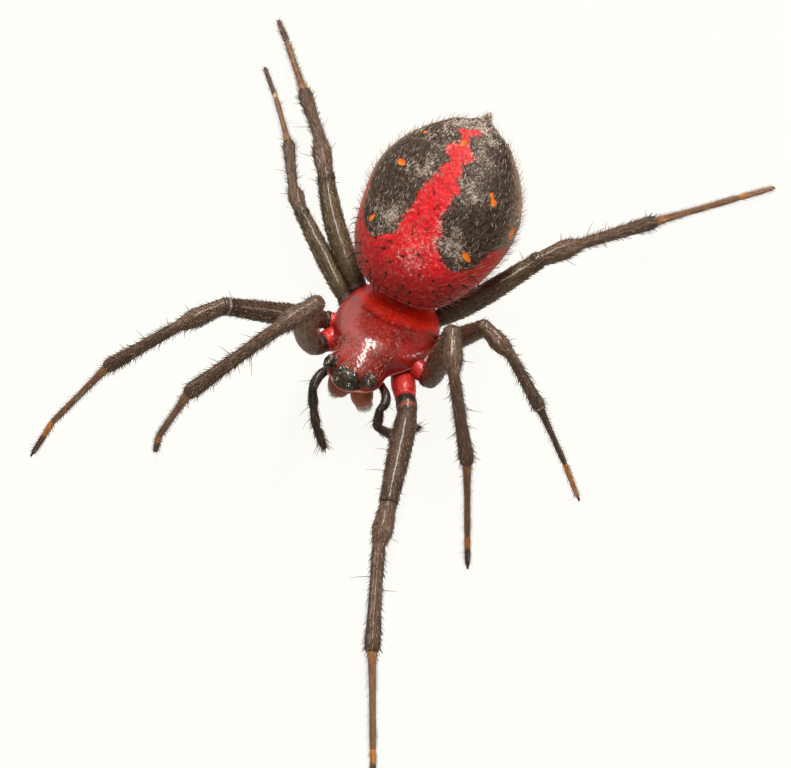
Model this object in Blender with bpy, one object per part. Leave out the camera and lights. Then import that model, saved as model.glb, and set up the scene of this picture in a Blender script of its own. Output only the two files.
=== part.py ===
"""Alpaida carminea, a small red and black orb-weaving spider, as a still
life-size model standing on eight feet. Run in Blender 4.5:

    blender --background --python part.py

Shapes are worked out in millimetres (one unit = 1 mm), where the booleans have
room, and each finished mesh is scaled to metres. The spider faces -Y, its left
side is +X and the floor is Z = 0.
"""

import math

import bmesh
import bpy
from mathutils import Matrix, Vector

# ---------------------------------------------------------------- sizes, mm
COXA_LEVEL = 1.90  # height of the middle of the carapace margin
PROSOMA_PITCH = -6.0  # degrees about X, nose up
CARAPACE_FRONT = -2.46
CARAPACE_REAR = 1.95
THORAX_HALF_WIDTH = 1.69
HEAD_HALF_WIDTH = 0.94
HEAD_HEIGHT = 0.85
THORAX_HEIGHT = 0.62
MARGIN_DEPTH = 0.12

ABDOMEN_FRONT = (-0.08, 0.72, 2.88)  # its front pole
ABDOMEN_TAIL = (0.085, 6.85, 5.77)  # the point of its tail
ABDOMEN_HALF_WIDTH = 2.59
ABDOMEN_RISE = 1.335  # above the line from pole to tail
ABDOMEN_SAG = 2.89  # below it
TAIL_TUBERCLE = 0.31

THINNEST = 0.25  # radius; no leg or palp is thinner than 0.5 mm
JOINT_GAP = 0.02  # between the two cut faces at a joint
SIDES_RESOLUTION = 4  # 12 sides to a leg

EYES = {  # place over the carapace, radius
    "anterior_median": ((0.22, -2.69, 2.59), 0.115),
    "posterior_median": ((0.25, -2.37, 2.80), 0.115),
    "anterior_lateral": ((0.785, -2.40, 2.72), 0.085),
    "posterior_lateral": ((0.81, -2.08, 2.70), 0.085),
}

# Each leg: its trochanter, then length, heading and pitch of the femur,
# patella, tibia, metatarsus and tarsus. Heading is in degrees outward from
# straight ahead, pitch is in degrees up.
LEGS = {
    "L1": ((2.10, -2.18, 1.77), (3.58, 19.6, 7), (1.59, 18, -4), (3.31, 26, -11), (3.13, 30, -16), (1.21, 30, -24)),
    "R1": ((1.70, -1.64, 1.95), (4.25, -39, 78), (1.61, 22, 4), (3.46, 35, -29), (3.33, 70, -71), (1.32, 103, -80)),
    "L2": ((2.15, -0.80, 1.80), (3.88, 86, 78), (1.44, 31, -8), (2.83, 41, -42), (2.76, 31, -61), (1.21, 31, -59)),
    "R2": ((1.86, -0.58, 1.90), (4.11, 45, 36), (1.62, 31, 4), (2.80, 45, -32), (2.86, 34, -44), (1.27, 14, -40)),
    "L3": ((1.76, 0.56, 1.65), (3.33, 84, 59), (1.18, 73, -12), (2.12, 71, -47), (2.14, 66, -50), (1.34, 60, -47)),
    "R3": ((1.84, 0.66, 1.55), (3.29, 124, 11), (1.12, 136, -13), (2.30, 146, -19), (2.37, 139, -17), (1.41, 135, -14)),
    "L4": ((1.21, 1.37, 1.65), (3.84, 148, 11), (1.54, 144, -2), (2.89, 149, -18), (3.42, 147, -16), (1.40, 147, -16)),
    "R4": ((1.63, 1.16, 1.75), (3.85, 134, 15), (1.47, 142, 2), (2.56, 138, -22), (3.16, 138, -23), (1.26, 136, -22)),
}
FOOT_SINK = 0.5  # share of a tarsus's end that the floor cuts off as its flat
COXA_LENGTH = {"L1": 1.46, "1": 0.92, "2": 0.80, "3": 0.75, "4": 0.75}
FEMUR_BOW = {"R1": (-0.24, -0.13, 0), "R4": (-0.12, -0.12, 0), "L4": (0.06, -0.08, 0)}  # at mid length
COXA_HEADING = {"L1": 36, "1": 28, "2": 70, "3": 106, "4": 138}
COXA_RISE = {"L1": 0.30, "1": 0.26, "2": 0.06, "3": 0.26, "4": 0.26}  # from its inner end to the trochanter
LEG_THICKNESS = {"1": 1.00, "2": 0.92, "3": 0.88, "4": 0.96}
# Radii along each segment, from its near end to its far end.
COXA_RADII = (0.25, 0.35, 0.37, 0.35)
FEMUR_RADII = (0.33, 0.385, 0.39, 0.37, 0.345, 0.33)
PATELLA_RADII = (0.31, 0.335, 0.32)
TIBIA_RADII = (0.27, 0.25, 0.25)
FOOT_RADII = (0.25, 0.25, 0.25)

PALPS = {  # base, then the joints out to the tip
    "R": ((-0.86, -1.86, 1.62), (-0.95, -2.98, 1.85), (-0.72, -3.32, 1.35), (-0.42, -3.68, 0.92), (0.06, -4.00, 0.42)),
    "L": ((0.84, -1.66, 1.62), (1.28, -2.53, 1.75), (1.38, -2.90, 1.30), (1.87, -2.78, 0.98), (2.40, -1.92, 0.62)),
}
CHELICERA = ((0.34, -1.92, 1.90), (0.39, -2.12, 1.72), (0.415, -2.18, 1.40), (0.41, -2.14, 1.06), (0.38, -2.05, 0.82))
CHELICERA_RADII = (0.30, 0.36, 0.385, 0.33, 0.22)
FANG = ((0.29, -1.98, 0.70), (0.21, -1.89, 0.60), (0.13, -1.75, 0.58))

MM = 0.001


# ------------------------------------------------------------------ helpers
def smooth(t):
    t = max(0.0, min(1.0, t))
    return t * t * (3 - 2 * t)


def material(name, colour, roughness, metallic=0.0):
    made = bpy.data.materials.new(name)
    made.use_nodes = True
    shader = made.node_tree.nodes["Principled BSDF"]
    shader.inputs["Base Color"].default_value = (*colour, 1)
    shader.inputs["Roughness"].default_value = roughness
    shader.inputs["Metallic"].default_value = metallic
    made.diffuse_color = (*colour, 1)
    return made


def new_object(name, bm, look):
    bmesh.ops.recalc_face_normals(bm, faces=bm.faces)
    mesh = bpy.data.meshes.new(name)
    bm.to_mesh(mesh)
    bm.free()
    mesh.materials.append(look)
    obj = bpy.data.objects.new(name, mesh)
    SPIDER.objects.link(obj)
    return obj


def loft(name, rings, look):
    """A closed solid through rings of points; a ring of one point is a pole."""
    bm = bmesh.new()
    made = [[bm.verts.new(p) for p in ring] for ring in rings]
    for near, far in zip(made, made[1:]):
        count = max(len(near), len(far))
        for i in range(count):
            j = (i + 1) % count
            if len(near) == 1:
                bm.faces.new((near[0], far[j], far[i]))
            elif len(far) == 1:
                bm.faces.new((near[i], near[j], far[0]))
            else:
                bm.faces.new((near[i], near[j], far[j], far[i]))
    for ring in (made[0], made[-1]):
        if len(ring) > 1:
            bm.faces.new(ring)
    return new_object(name, bm, look)


def tube_mesh(points, radii, resolution=SIDES_RESOLUTION):
    """The mesh of a beveled curve through these points, with its caps welded on."""
    curve = bpy.data.curves.new("tube", "CURVE")
    curve.dimensions = "3D"
    curve.bevel_depth = 1.0
    curve.bevel_resolution = resolution
    curve.use_fill_caps = True
    spline = curve.splines.new("POLY")
    spline.points.add(len(points) - 1)
    for place, point, radius in zip(spline.points, points, radii):
        place.co = (*point, 1)
        place.radius = radius
    obj = bpy.data.objects.new("tube", curve)
    SPIDER.objects.link(obj)
    bpy.context.view_layer.update()
    graph = bpy.context.evaluated_depsgraph_get()
    mesh = bpy.data.meshes.new_from_object(obj.evaluated_get(graph))
    bpy.data.objects.remove(obj)
    bm = bmesh.new()
    bm.from_mesh(mesh)
    bpy.data.meshes.remove(mesh)
    bmesh.ops.remove_doubles(bm, verts=bm.verts, dist=1e-4)
    return bm


def slice_off(bm, place, outward):
    """Cuts away what lies beyond the plane and closes the cut."""
    cut = bmesh.ops.bisect_plane(
        bm, geom=bm.verts[:] + bm.edges[:] + bm.faces[:], dist=1e-6,
        plane_co=place, plane_no=outward, clear_outer=True,
    )
    rim = [e for e in cut["geom_cut"] if isinstance(e, bmesh.types.BMEdge)]
    if rim:
        bmesh.ops.holes_fill(bm, edges=[e for e in bm.edges if e.is_boundary])


def tube(name, points, radii, look, cuts=(), resolution=SIDES_RESOLUTION):
    bm = tube_mesh(points, radii, resolution)
    for place, outward in cuts:
        slice_off(bm, place, outward)
    return new_object(name, bm, look)


def boolean(obj, other, operation):
    """Joins or cuts obj by other, at once."""
    step = obj.modifiers.new("step", "BOOLEAN")
    step.operation = operation
    step.solver = "EXACT"
    step.object = other
    bpy.context.view_layer.update()
    graph = bpy.context.evaluated_depsgraph_get()
    mesh = bpy.data.meshes.new_from_object(obj.evaluated_get(graph))
    obj.modifiers.remove(step)
    old, obj.data = obj.data, mesh
    bpy.data.meshes.remove(old)


def subtract(obj, *others):
    for other in others:
        boolean(obj, other, "DIFFERENCE")


def join(obj, *others):
    for other in others:
        boolean(obj, other, "UNION")
        bpy.data.objects.remove(other)


def ball(name, place, radius, look, sides=12, rings=8, stretch=(1, 1, 1)):
    bm = bmesh.new()
    bmesh.ops.create_uvsphere(bm, u_segments=sides, v_segments=rings, radius=radius)
    bmesh.ops.transform(
        bm, verts=bm.verts,
        matrix=Matrix.Translation(place) @ Matrix.Diagonal((*stretch, 1)),
    )
    return new_object(name, bm, look)


def side(point, sign):
    return Vector((abs(point[0]) * sign, point[1], point[2]))


# ---------------------------------------------------------------- the parts
def prosoma_to_world(point):
    turned = Matrix.Rotation(math.radians(PROSOMA_PITCH), 3, "X") @ Vector(point)
    return turned + Vector((0, 0, COXA_LEVEL))


def carapace_half_width(y):
    """An oval thorax run smoothly into the narrower, square-fronted head."""
    thorax = THORAX_HALF_WIDTH * math.sqrt(max(0, 1 - ((y - 0.15) / (CARAPACE_REAR - 0.13)) ** 2))
    if y > 0:
        return thorax
    head = HEAD_HALF_WIDTH
    if y < -1.9:
        head *= (1 - ((-1.9 - y) / 0.60) ** 3) ** 0.5
    return (thorax ** 6 + head ** 6) ** (1 / 6)


def carapace_height(y):
    rear = THORAX_HEIGHT * (1 - max(0, (y - 0.5) / (CARAPACE_REAR - 0.5 + 0.06)) ** 2.2)
    head = (HEAD_HEIGHT - THORAX_HEIGHT) * smooth((0.0 - y) / 1.2)
    front = 0.26 * max(0, (-1.5 - y) / 0.96) ** 2
    return rear + head - front


def carapace():
    rings = []
    stations = (-2.46, -2.40, -2.30, -2.15, -1.9, -1.6, -1.25, -0.9, -0.55, -0.2, 0.15, 0.5, 0.85, 1.15, 1.4, 1.62, 1.80, 1.91)
    for y in stations:
        width, height = carapace_half_width(y), carapace_height(y)
        ring = []
        for i in range(24):
            angle = 2 * math.pi * i / 24
            c, s = math.cos(angle), math.sin(angle)
            x = width * math.copysign(abs(c) ** 0.85, c)
            z = height * abs(s) ** 0.9 if s > 0 else -MARGIN_DEPTH * abs(s) ** 0.6
            ring.append(prosoma_to_world((x, y, z)))
        rings.append(ring)
    return loft("carapace", rings, RED_SHELL)


def abdomen_profile(t):
    """Half width, rise and sag at this share of the way from pole to tail."""
    def bulge(peak, front, rear, front_root=0.5):
        if t < peak:
            return (1 - ((peak - t) / peak) ** front) ** front_root
        past = (t - peak) / (1 - peak)
        return 1 - past ** rear - 0.10 * smooth((past - 0.78) / 0.12)
    tail = TAIL_TUBERCLE * min(1, (1 - t) / 0.085) ** 0.80
    width = ABDOMEN_HALF_WIDTH * bulge(0.486, 1.453, 2.221, 0.30)
    rise = ABDOMEN_RISE * bulge(0.30, 2.395, 2.6)
    sag = ABDOMEN_SAG * bulge(0.43, 1.45, 1.75, 0.9)
    return max(width, tail), max(rise, tail), max(sag, tail)


def abdomen():
    front, tail = Vector(ABDOMEN_FRONT), Vector(ABDOMEN_TAIL)
    along = (tail - front).normalized()
    across = (Vector((1, 0, 0)) - along * along.x).normalized()
    up = across.cross(along)
    length = (tail - front).length
    rings = [[front]]
    stations = [0.5 - 0.5 * math.cos(math.pi * i / 19) for i in range(1, 19)]
    for t in [0.0025] + stations[1:-3] + [0.915, 0.94, 0.965, 0.985]:
        width, rise, sag = abdomen_profile(t)
        ring = []
        for i in range(28):
            angle = 2 * math.pi * i / 28
            c, s = math.cos(angle), math.sin(angle)
            lift = rise if s > 0 else sag
            ring.append(front + along * (t * length) + across * (width * c) + up * (lift * s))
        rings.append(ring)
    rings.append([tail])
    return loft("abdomen", rings, BLACK_AND_RED)


def direction(sign, heading, pitch):
    heading, pitch = math.radians(heading), math.radians(pitch)
    return Vector((sign * math.sin(heading) * math.cos(pitch), -math.cos(heading) * math.cos(pitch), math.sin(pitch)))


def leg_path(name):
    """Inner end of the coxa, trochanter, the four joints and the tarsus tip."""
    sign = 1 if name[0] == "L" else -1
    hip, *segments = LEGS[name]
    hip = side(hip, sign)
    reach, heading, rise = (table.get(name, table[name[1]]) for table in (COXA_LENGTH, COXA_HEADING, COXA_RISE))
    path = [hip - direction(sign, heading, math.degrees(math.asin(rise / reach))) * reach, hip]
    for length, heading, pitch in segments:
        path.append(path[-1] + direction(sign, heading, pitch) * length)
    ankle, end = path[-2], path[-1]
    level = (end - ankle).normalized()
    height = FOOT_SINK * THINNEST * math.hypot(level.x, level.y)
    path[-1] = ankle + (end - ankle) * ((ankle.z - height) / (ankle.z - end.z))
    return path


def limb(name, path, joints, profiles, thickness, look, floor=False, bow=(0, 0, 0)):
    """A length of leg over some of the path's segments, cut across at its joints."""
    first, last = joints
    points, radii = [], []
    for index in range(first, last):
        near, far = path[index], path[index + 1]
        profile = profiles[index - first]
        for k, radius in enumerate(profile):
            if index > first and k == 0:
                continue
            share = k / (len(profile) - 1)
            points.append(near.lerp(far, share) + Vector(bow) * (4 * share * (1 - share)))
            radii.append(max(THINNEST, radius * thickness))
    cuts = []
    for end, at, other in ((first, first + 1, first - 1), (last, last - 1, last + 1)):
        if not 0 <= other < len(path):
            continue
        outward = (path[end] - path[at]).normalized()
        onward = (path[other] - path[end]).normalized()
        plane = (outward + onward).normalized()
        cuts.append((path[end] - plane * (JOINT_GAP / 2), plane))
        reach = path[end] + outward * 0.6
        if end == first:
            points.insert(0, reach)
            radii.insert(0, radii[0])
        else:
            points.append(reach)
            radii.append(radii[-1])
    if floor:
        cuts.append((Vector((0, 0, 0)), Vector((0, 0, -1))))
    return tube(name, points, radii, look, cuts)


def leg(name):
    path = leg_path(name)
    thickness = LEG_THICKNESS[name[1]]
    coxa = limb(f"coxa_{name}", path, (0, 1), [COXA_RADII], 1.0, RED_COXA)
    femur = limb(f"femur_{name}", path, (1, 2), [FEMUR_RADII], thickness, BLACK_LEG, bow=FEMUR_BOW.get(name, (0, 0, 0)))
    limb(f"tibia_{name}", path, (2, 4), [PATELLA_RADII, TIBIA_RADII], thickness, BLACK_LEG)
    limb(f"foot_{name}", path, (4, 6), [FOOT_RADII, FOOT_RADII], thickness, BROWN_FOOT, floor=True)
    return coxa, femur


def palp(which):
    path = [Vector(p) for p in PALPS[which]]
    thick = (0.25, 0.27, 0.25)
    base = limb(f"palp_base_{which}", path, (0, 1), [thick], 1.0, BLACK_LEG)
    subtract(base, shell, mouth, *jaws, *coxae.values())
    limb(f"palp_tip_{which}", path, (1, 4), [thick, thick, (0.26, 0.27, 0.25)], 1.0, BLACK_LEG)


def eye(name, place, radius, sign, shell):
    made = ball(f"eye_{name}_{'L' if sign > 0 else 'R'}", side(place, sign), radius, EYE, 10, 7)
    subtract(made, shell)
    return made


# -------------------------------------------------------------------- scene
for old in list(bpy.data.objects):
    bpy.data.objects.remove(old)
SPIDER = bpy.data.collections.new("alpaida_carminea")
bpy.context.scene.collection.children.link(SPIDER)

RED_SHELL = material("carapace_red", (0.42, 0.012, 0.012), 0.22)
RED_COXA = material("coxa_red", (0.55, 0.012, 0.015), 0.25)
RED_UNDER = material("sternum_red", (0.34, 0.012, 0.012), 0.35)
BLACK_AND_RED = material("abdomen_black_and_red", (0.20, 0.010, 0.012), 0.5)
BLACK_LEG = material("leg_black", (0.030, 0.020, 0.014), 0.32)
BROWN_FOOT = material("foot_brown", (0.060, 0.030, 0.016), 0.4)
BROWN_JAW = material("jaw_brown_red", (0.13, 0.014, 0.012), 0.25)
EYE = material("eye_black", (0.006, 0.005, 0.005), 0.06)

shell = carapace()
# The eyes' mounds: a prow for the four middle eyes, one at each corner.
join(shell, *[
    ball("mound", place, 1.0, RED_SHELL, 14, 8, size)
    for place, size in (
        ((0, -2.42, 2.57), (0.45, 0.28, 0.32)), ((0, -2.60, 2.50), (0.36, 0.22, 0.17)), ((0, -2.42, 2.27), (0.50, 0.24, 0.22)),
        ((0.77, -2.22, 2.58), (0.20, 0.25, 0.20)), ((-0.77, -2.22, 2.58), (0.20, 0.25, 0.20)),
    )
])
belly = abdomen()

coxae, femora = {}, {}
for name in LEGS:
    coxae[name], femora[name] = leg(name)
for flank in "LR":
    for pair, behind in (("1", "2"), ("2", "3"), ("3", "4")):
        subtract(coxae[flank + pair], coxae[flank + behind])
subtract(femora["R3"], femora["R4"], coxae["R4"])
subtract(shell, *coxae.values(), *femora.values())

sternum = ball("sternum", (0, 0.0, 1.42), 1.0, RED_UNDER, 20, 10, (0.74, 1.28, 0.30))
subtract(sternum, shell, *coxae.values())

jaws = []
for sign, which in ((1, "L"), (-1, "R")):
    jaw = tube(f"chelicera_{which}", [side(p, sign) for p in CHELICERA], CHELICERA_RADII, BROWN_JAW)
    subtract(jaw, shell)
    jaws.append(jaw)
    tube(f"fang_{which}", [side(p, sign) for p in FANG], (0.07, 0.06, 0.03), BROWN_JAW, resolution=2)

mouth = ball("mouthparts", (0, -1.36, 1.36), 0.30, RED_UNDER, 14, 8, (1.0, 0.8, 0.7))
join(mouth, *[
    tube("endite", [side(p, sign) for p in ((0.24, -1.28, 1.36), (0.33, -1.56, 1.28), (0.33, -1.82, 1.18))], (0.20, 0.24, 0.18), RED_UNDER, resolution=3)
    for sign in (1, -1)
])
subtract(mouth, shell, sternum, *coxae.values())

for which in PALPS:
    palp(which)

pedicel = tube("pedicel", [Vector((0, 1.70, 1.62)), Vector((0, 2.10, 1.72)), Vector((0, 2.55, 1.90))], (0.26, 0.24, 0.26), RED_UNDER)
subtract(pedicel, shell, sternum, belly, *coxae.values())

spinnerets = ball("spinnerets", (0, 5.36, 2.62), 0.42, BROWN_FOOT, 16, 8, (1, 0.9, 0.9))
join(spinnerets, *[
    tube("spigot", [Vector((x, y, z)), Vector((x * 1.25, y + 0.22, z - 0.36))], (0.13, 0.07), BROWN_FOOT, resolution=2)
    for x, y, z in ((0.17, 5.36, 2.36), (-0.17, 5.36, 2.36), (0.17, 5.62, 2.44), (-0.17, 5.62, 2.44))
])
subtract(spinnerets, belly)

for kind, (place, radius) in EYES.items():
    for sign in (1, -1):
        eye(kind, place, radius, sign, shell)

# To metres, centred over the feet, each part's origin at its own middle.
root = bpy.data.objects.new("spider", None)
SPIDER.objects.link(root)
parts = [obj for obj in SPIDER.objects if obj.type == "MESH"]
corners = [v.co for obj in parts for v in obj.data.vertices]
low = Vector([min(c[i] for c in corners) for i in range(3)])
high = Vector([max(c[i] for c in corners) for i in range(3)])
shift = Vector((-(low.x + high.x) / 2, -(low.y + high.y) / 2, 0))
for obj in parts:
    own = [v.co for v in obj.data.vertices]
    middle = Vector([(min(c[i] for c in own) + max(c[i] for c in own)) / 2 for i in range(3)])
    obj.data.transform(Matrix.Scale(MM, 4) @ Matrix.Translation(-middle))
    obj.data.shade_smooth()
    obj.parent = root
    obj.location = (middle + shift) * MM
print("box, mm", tuple(round(v, 3) for v in low), tuple(round(v, 3) for v in high), "shift", tuple(round(v, 4) for v in shift))
print("triangles", sum(len(p.vertices) - 2 for obj in parts for p in obj.data.polygons), "parts", len(parts))
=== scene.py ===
import math

import bpy
import numpy as np
from mathutils import Matrix


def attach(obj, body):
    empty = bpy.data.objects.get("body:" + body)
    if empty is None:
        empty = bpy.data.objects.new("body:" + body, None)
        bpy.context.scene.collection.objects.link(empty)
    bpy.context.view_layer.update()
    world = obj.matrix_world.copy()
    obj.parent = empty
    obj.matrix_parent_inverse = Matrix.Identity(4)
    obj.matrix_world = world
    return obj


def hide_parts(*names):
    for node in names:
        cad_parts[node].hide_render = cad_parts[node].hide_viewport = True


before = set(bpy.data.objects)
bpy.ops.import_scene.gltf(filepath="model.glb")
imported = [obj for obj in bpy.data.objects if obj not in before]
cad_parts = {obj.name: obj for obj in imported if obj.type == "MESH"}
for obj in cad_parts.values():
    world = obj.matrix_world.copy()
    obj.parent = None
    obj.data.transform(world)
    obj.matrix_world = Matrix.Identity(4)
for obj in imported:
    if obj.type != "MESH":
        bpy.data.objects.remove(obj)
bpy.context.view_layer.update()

# Alpaida carminea: skin, eyes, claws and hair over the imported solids.
# Shapes are worked out in millimetres in the spider's own frame: it faces -Y,
# its left side is +X, the floor is Z = 0. SHIFT and MM take them to the frame.
SHIFT = np.array([0.7674, 0.7492, 0.0])
MM = 0.001
RANDOM = np.random.default_rng(2417)

# ---------------------------------------------------------------- sizes, mm
COXA_LEVEL = 1.90
PROSOMA_PITCH = -6.0
CARAPACE_REAR = 1.95
THORAX_HALF_WIDTH = 1.69
HEAD_HALF_WIDTH = 0.94
HEAD_HEIGHT = 0.85
THORAX_HEIGHT = 0.62
MARGIN_DEPTH = 0.12

ABDOMEN_FRONT = np.array([-0.08, 0.72, 2.88])
ABDOMEN_TAIL = np.array([0.085, 6.85, 5.77])
ABDOMEN_HALF_WIDTH = 2.59
ABDOMEN_RISE = 1.335
ABDOMEN_SAG = 2.89
TAIL_TUBERCLE = 0.31
TAIL_LENGTH = 0.085  # share of the abdomen that is its pointed end
COAT_DEPTH = 0.03

EYES = {  # place, radius, way it looks
    "anterior_median": ((0.22, -2.69, 2.59), 0.115, (0.24, -1.0, 0.30)),
    "posterior_median": ((0.25, -2.37, 2.80), 0.115, (0.32, -0.45, 0.90)),
    "anterior_lateral": ((0.785, -2.40, 2.72), 0.085, (0.62, -0.80, 0.15)),
    "posterior_lateral": ((0.81, -2.08, 2.70), 0.085, (0.85, 0.05, 0.50)),
}
LEGS = {  # trochanter, then length, heading outward from ahead, pitch up
    "L1": ((2.10, -2.18, 1.77), (3.58, 19.6, 7), (1.59, 18, -4), (3.31, 26, -11), (3.13, 30, -16), (1.21, 30, -24)),
    "R1": ((1.70, -1.64, 1.95), (4.25, -39, 78), (1.61, 22, 4), (3.46, 35, -29), (3.33, 70, -71), (1.32, 103, -80)),
    "L2": ((2.15, -0.80, 1.80), (3.88, 86, 78), (1.44, 31, -8), (2.83, 41, -42), (2.76, 31, -61), (1.21, 31, -59)),
    "R2": ((1.86, -0.58, 1.90), (4.11, 45, 36), (1.62, 31, 4), (2.80, 45, -32), (2.86, 34, -44), (1.27, 14, -40)),
    "L3": ((1.76, 0.56, 1.65), (3.33, 84, 59), (1.18, 73, -12), (2.12, 71, -47), (2.14, 66, -50), (1.34, 60, -47)),
    "R3": ((1.84, 0.66, 1.55), (3.29, 124, 11), (1.12, 136, -13), (2.30, 146, -19), (2.37, 139, -17), (1.41, 135, -14)),
    "L4": ((1.21, 1.37, 1.65), (3.84, 148, 11), (1.54, 144, -2), (2.89, 149, -18), (3.42, 147, -16), (1.40, 147, -16)),
    "R4": ((1.63, 1.16, 1.75), (3.85, 134, 15), (1.47, 142, 2), (2.56, 138, -22), (3.16, 138, -23), (1.26, 136, -22)),
}
COXA_LENGTH = {"L1": 1.60, "1": 0.92, "2": 0.80, "3": 0.75, "4": 0.75}
COXA_HEADING = {"L1": 36, "1": 28, "2": 70, "3": 106, "4": 138}
COXA_RISE = {"L1": 0.34, "1": 0.26, "2": 0.06, "3": 0.26, "4": 0.26}
COXA_SHARE = {"L1": 0.58, "R1": 0.46, "L2": 0.66, "R2": 0.72}  # of coxa and trochanter together
FEMUR_BOW = {"R1": (-0.24, -0.13, 0), "R4": (-0.12, -0.12, 0), "L4": (0.06, -0.08, 0)}
THICKNESS = {"L1": 1.0, "R1": 1.0, "L2": 0.94, "R2": 0.93, "L3": 0.86, "R3": 0.80, "L4": 0.94, "R4": 0.96}
TIP_HEIGHT = 0.10  # of a tarsus's middle line where its claws end

PALPS = {
    "R": ((-0.86, -1.86, 1.62), (-0.95, -2.98, 1.85), (-0.72, -3.32, 1.35), (-0.42, -3.68, 0.92), (0.06, -4.00, 0.42)),
    "L": ((0.84, -1.66, 1.62), (1.28, -2.53, 1.75), (1.38, -2.90, 1.30), (1.87, -2.78, 0.98), (2.40, -1.92, 0.62)),
}
CHELICERA = ((0.34, -1.92, 1.90), (0.39, -2.12, 1.72), (0.415, -2.18, 1.40), (0.41, -2.14, 1.06), (0.38, -2.05, 0.82))
FANG = ((0.33, -2.03, 0.78), (0.28, -1.97, 0.70), (0.21, -1.89, 0.62), (0.13, -1.75, 0.60))


# ------------------------------------------------------------- small helpers
def smooth(t):
    t = np.clip(t, 0.0, 1.0)
    return t * t * (3 - 2 * t)


def unit(v):
    v = np.asarray(v, float)
    return v / np.maximum(np.linalg.norm(v, axis=-1, keepdims=True), 1e-12)


def curve(share, *knots):
    """A smooth profile through (share, value) knots."""
    at = np.array([k[0] for k in knots], float)
    value = np.array([k[1] for k in knots], float)
    share = np.clip(np.asarray(share, float), at[0], at[-1])
    i = np.clip(np.searchsorted(at, share) - 1, 0, len(at) - 2)
    slope = np.gradient(value, at)
    gap = at[i + 1] - at[i]
    u = (share - at[i]) / gap
    return (
        (2 * u**3 - 3 * u**2 + 1) * value[i]
        + (u**3 - 2 * u**2 + u) * gap * slope[i]
        + (-2 * u**3 + 3 * u**2) * value[i + 1]
        + (u**3 - u**2) * gap * slope[i + 1]
    )


def waves(points, scale, seed, octaves=3):
    """Smooth pseudo-random field of about -1 to 1, of this size in mm."""
    chance = np.random.default_rng(seed)
    total, weight = np.zeros(len(points)), 0.0
    for octave in range(octaves):
        way = unit(chance.normal(size=(7, 3))) * (2 * math.pi * 2**octave / scale)
        phase = chance.uniform(0, 2 * math.pi, 7)
        warp = 0.6 * np.sin(points @ way[::-1].T + phase[::-1])
        total += np.sin(points @ way.T + phase + warp).mean(axis=1) * 1.8 * 0.55**octave
        weight += 0.55**octave
    return np.clip(total / weight, -1.4, 1.4)


class Shape:
    """Points and faces being gathered into one mesh, with values at its points."""

    def __init__(self):
        self.points, self.quads, self.tris, self.values, self.count = [], [], [], {}, 0

    def add(self, points, quads=None, tris=None, **values):
        points = np.asarray(points, float)
        self.points.append(points)
        if quads is not None and len(quads):
            self.quads.append(np.asarray(quads, int) + self.count)
        if tris is not None and len(tris):
            self.tris.append(np.asarray(tris, int) + self.count)
        for name, value in values.items():
            value = np.asarray(value, float)
            if value.ndim == 0 or (value.ndim == 1 and value.shape[0] != len(points)):
                value = np.broadcast_to(value, (len(points), *value.shape)).copy()
            self.values.setdefault(name, []).append(value)
        self.count += len(points)

    def arrays(self):
        quads = np.concatenate(self.quads) if self.quads else np.zeros((0, 4), int)
        tris = np.concatenate(self.tris) if self.tris else np.zeros((0, 3), int)
        return np.concatenate(self.points), quads, tris

    def piece(self, name, look, slot=None, replaces=(), uv=None):
        points, quads, tris = self.arrays()
        mesh = bpy.data.meshes.new(name)
        mesh.vertices.add(len(points))
        mesh.vertices.foreach_set("co", ((points + SHIFT) * MM).astype(np.float32).ravel())
        corners = np.concatenate([quads.ravel(), tris.ravel()]).astype(np.int32)
        mesh.loops.add(len(corners))
        mesh.loops.foreach_set("vertex_index", corners)
        mesh.polygons.add(len(quads) + len(tris))
        starts = np.concatenate([np.arange(len(quads)) * 4, quads.size + np.arange(len(tris)) * 3])
        mesh.polygons.foreach_set("loop_start", starts.astype(np.int32))
        mesh.update(calc_edges=True)
        for key, parts in self.values.items():
            if key == uv:
                continue
            value = np.concatenate(parts).astype(np.float32)
            if value.ndim == 1:
                mesh.attributes.new(key, "FLOAT", "POINT").data.foreach_set("value", value)
            elif key == "tint":
                value = np.concatenate([value, np.ones((len(value), 1), np.float32)], axis=1)
                mesh.attributes.new(key, "FLOAT_COLOR", "POINT").data.foreach_set("color", value.ravel())
            else:
                mesh.attributes.new(key, "FLOAT_VECTOR", "POINT").data.foreach_set("vector", value.ravel())
        if uv:
            place = np.concatenate(self.values[uv]).astype(np.float32)[corners]
            mesh.uv_layers.new(name="OFBake").uv.foreach_set("vector", place.ravel())
        mesh.shade_smooth()
        mesh.materials.append(look)
        obj = bpy.data.objects.new(name, mesh)
        bpy.context.scene.collection.objects.link(obj)
        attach(obj, "root")
        if replaces:
            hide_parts(*replaces)
        return obj


def grid_faces(rings, sides):
    """Quads between rings of points that close round."""
    i, j = np.meshgrid(np.arange(rings - 1), np.arange(sides), indexing="ij")
    i, j = i.ravel(), j.ravel()
    k = (j + 1) % sides
    return np.stack([i * sides + j, i * sides + k, (i + 1) * sides + k, (i + 1) * sides + j], axis=1)


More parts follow.
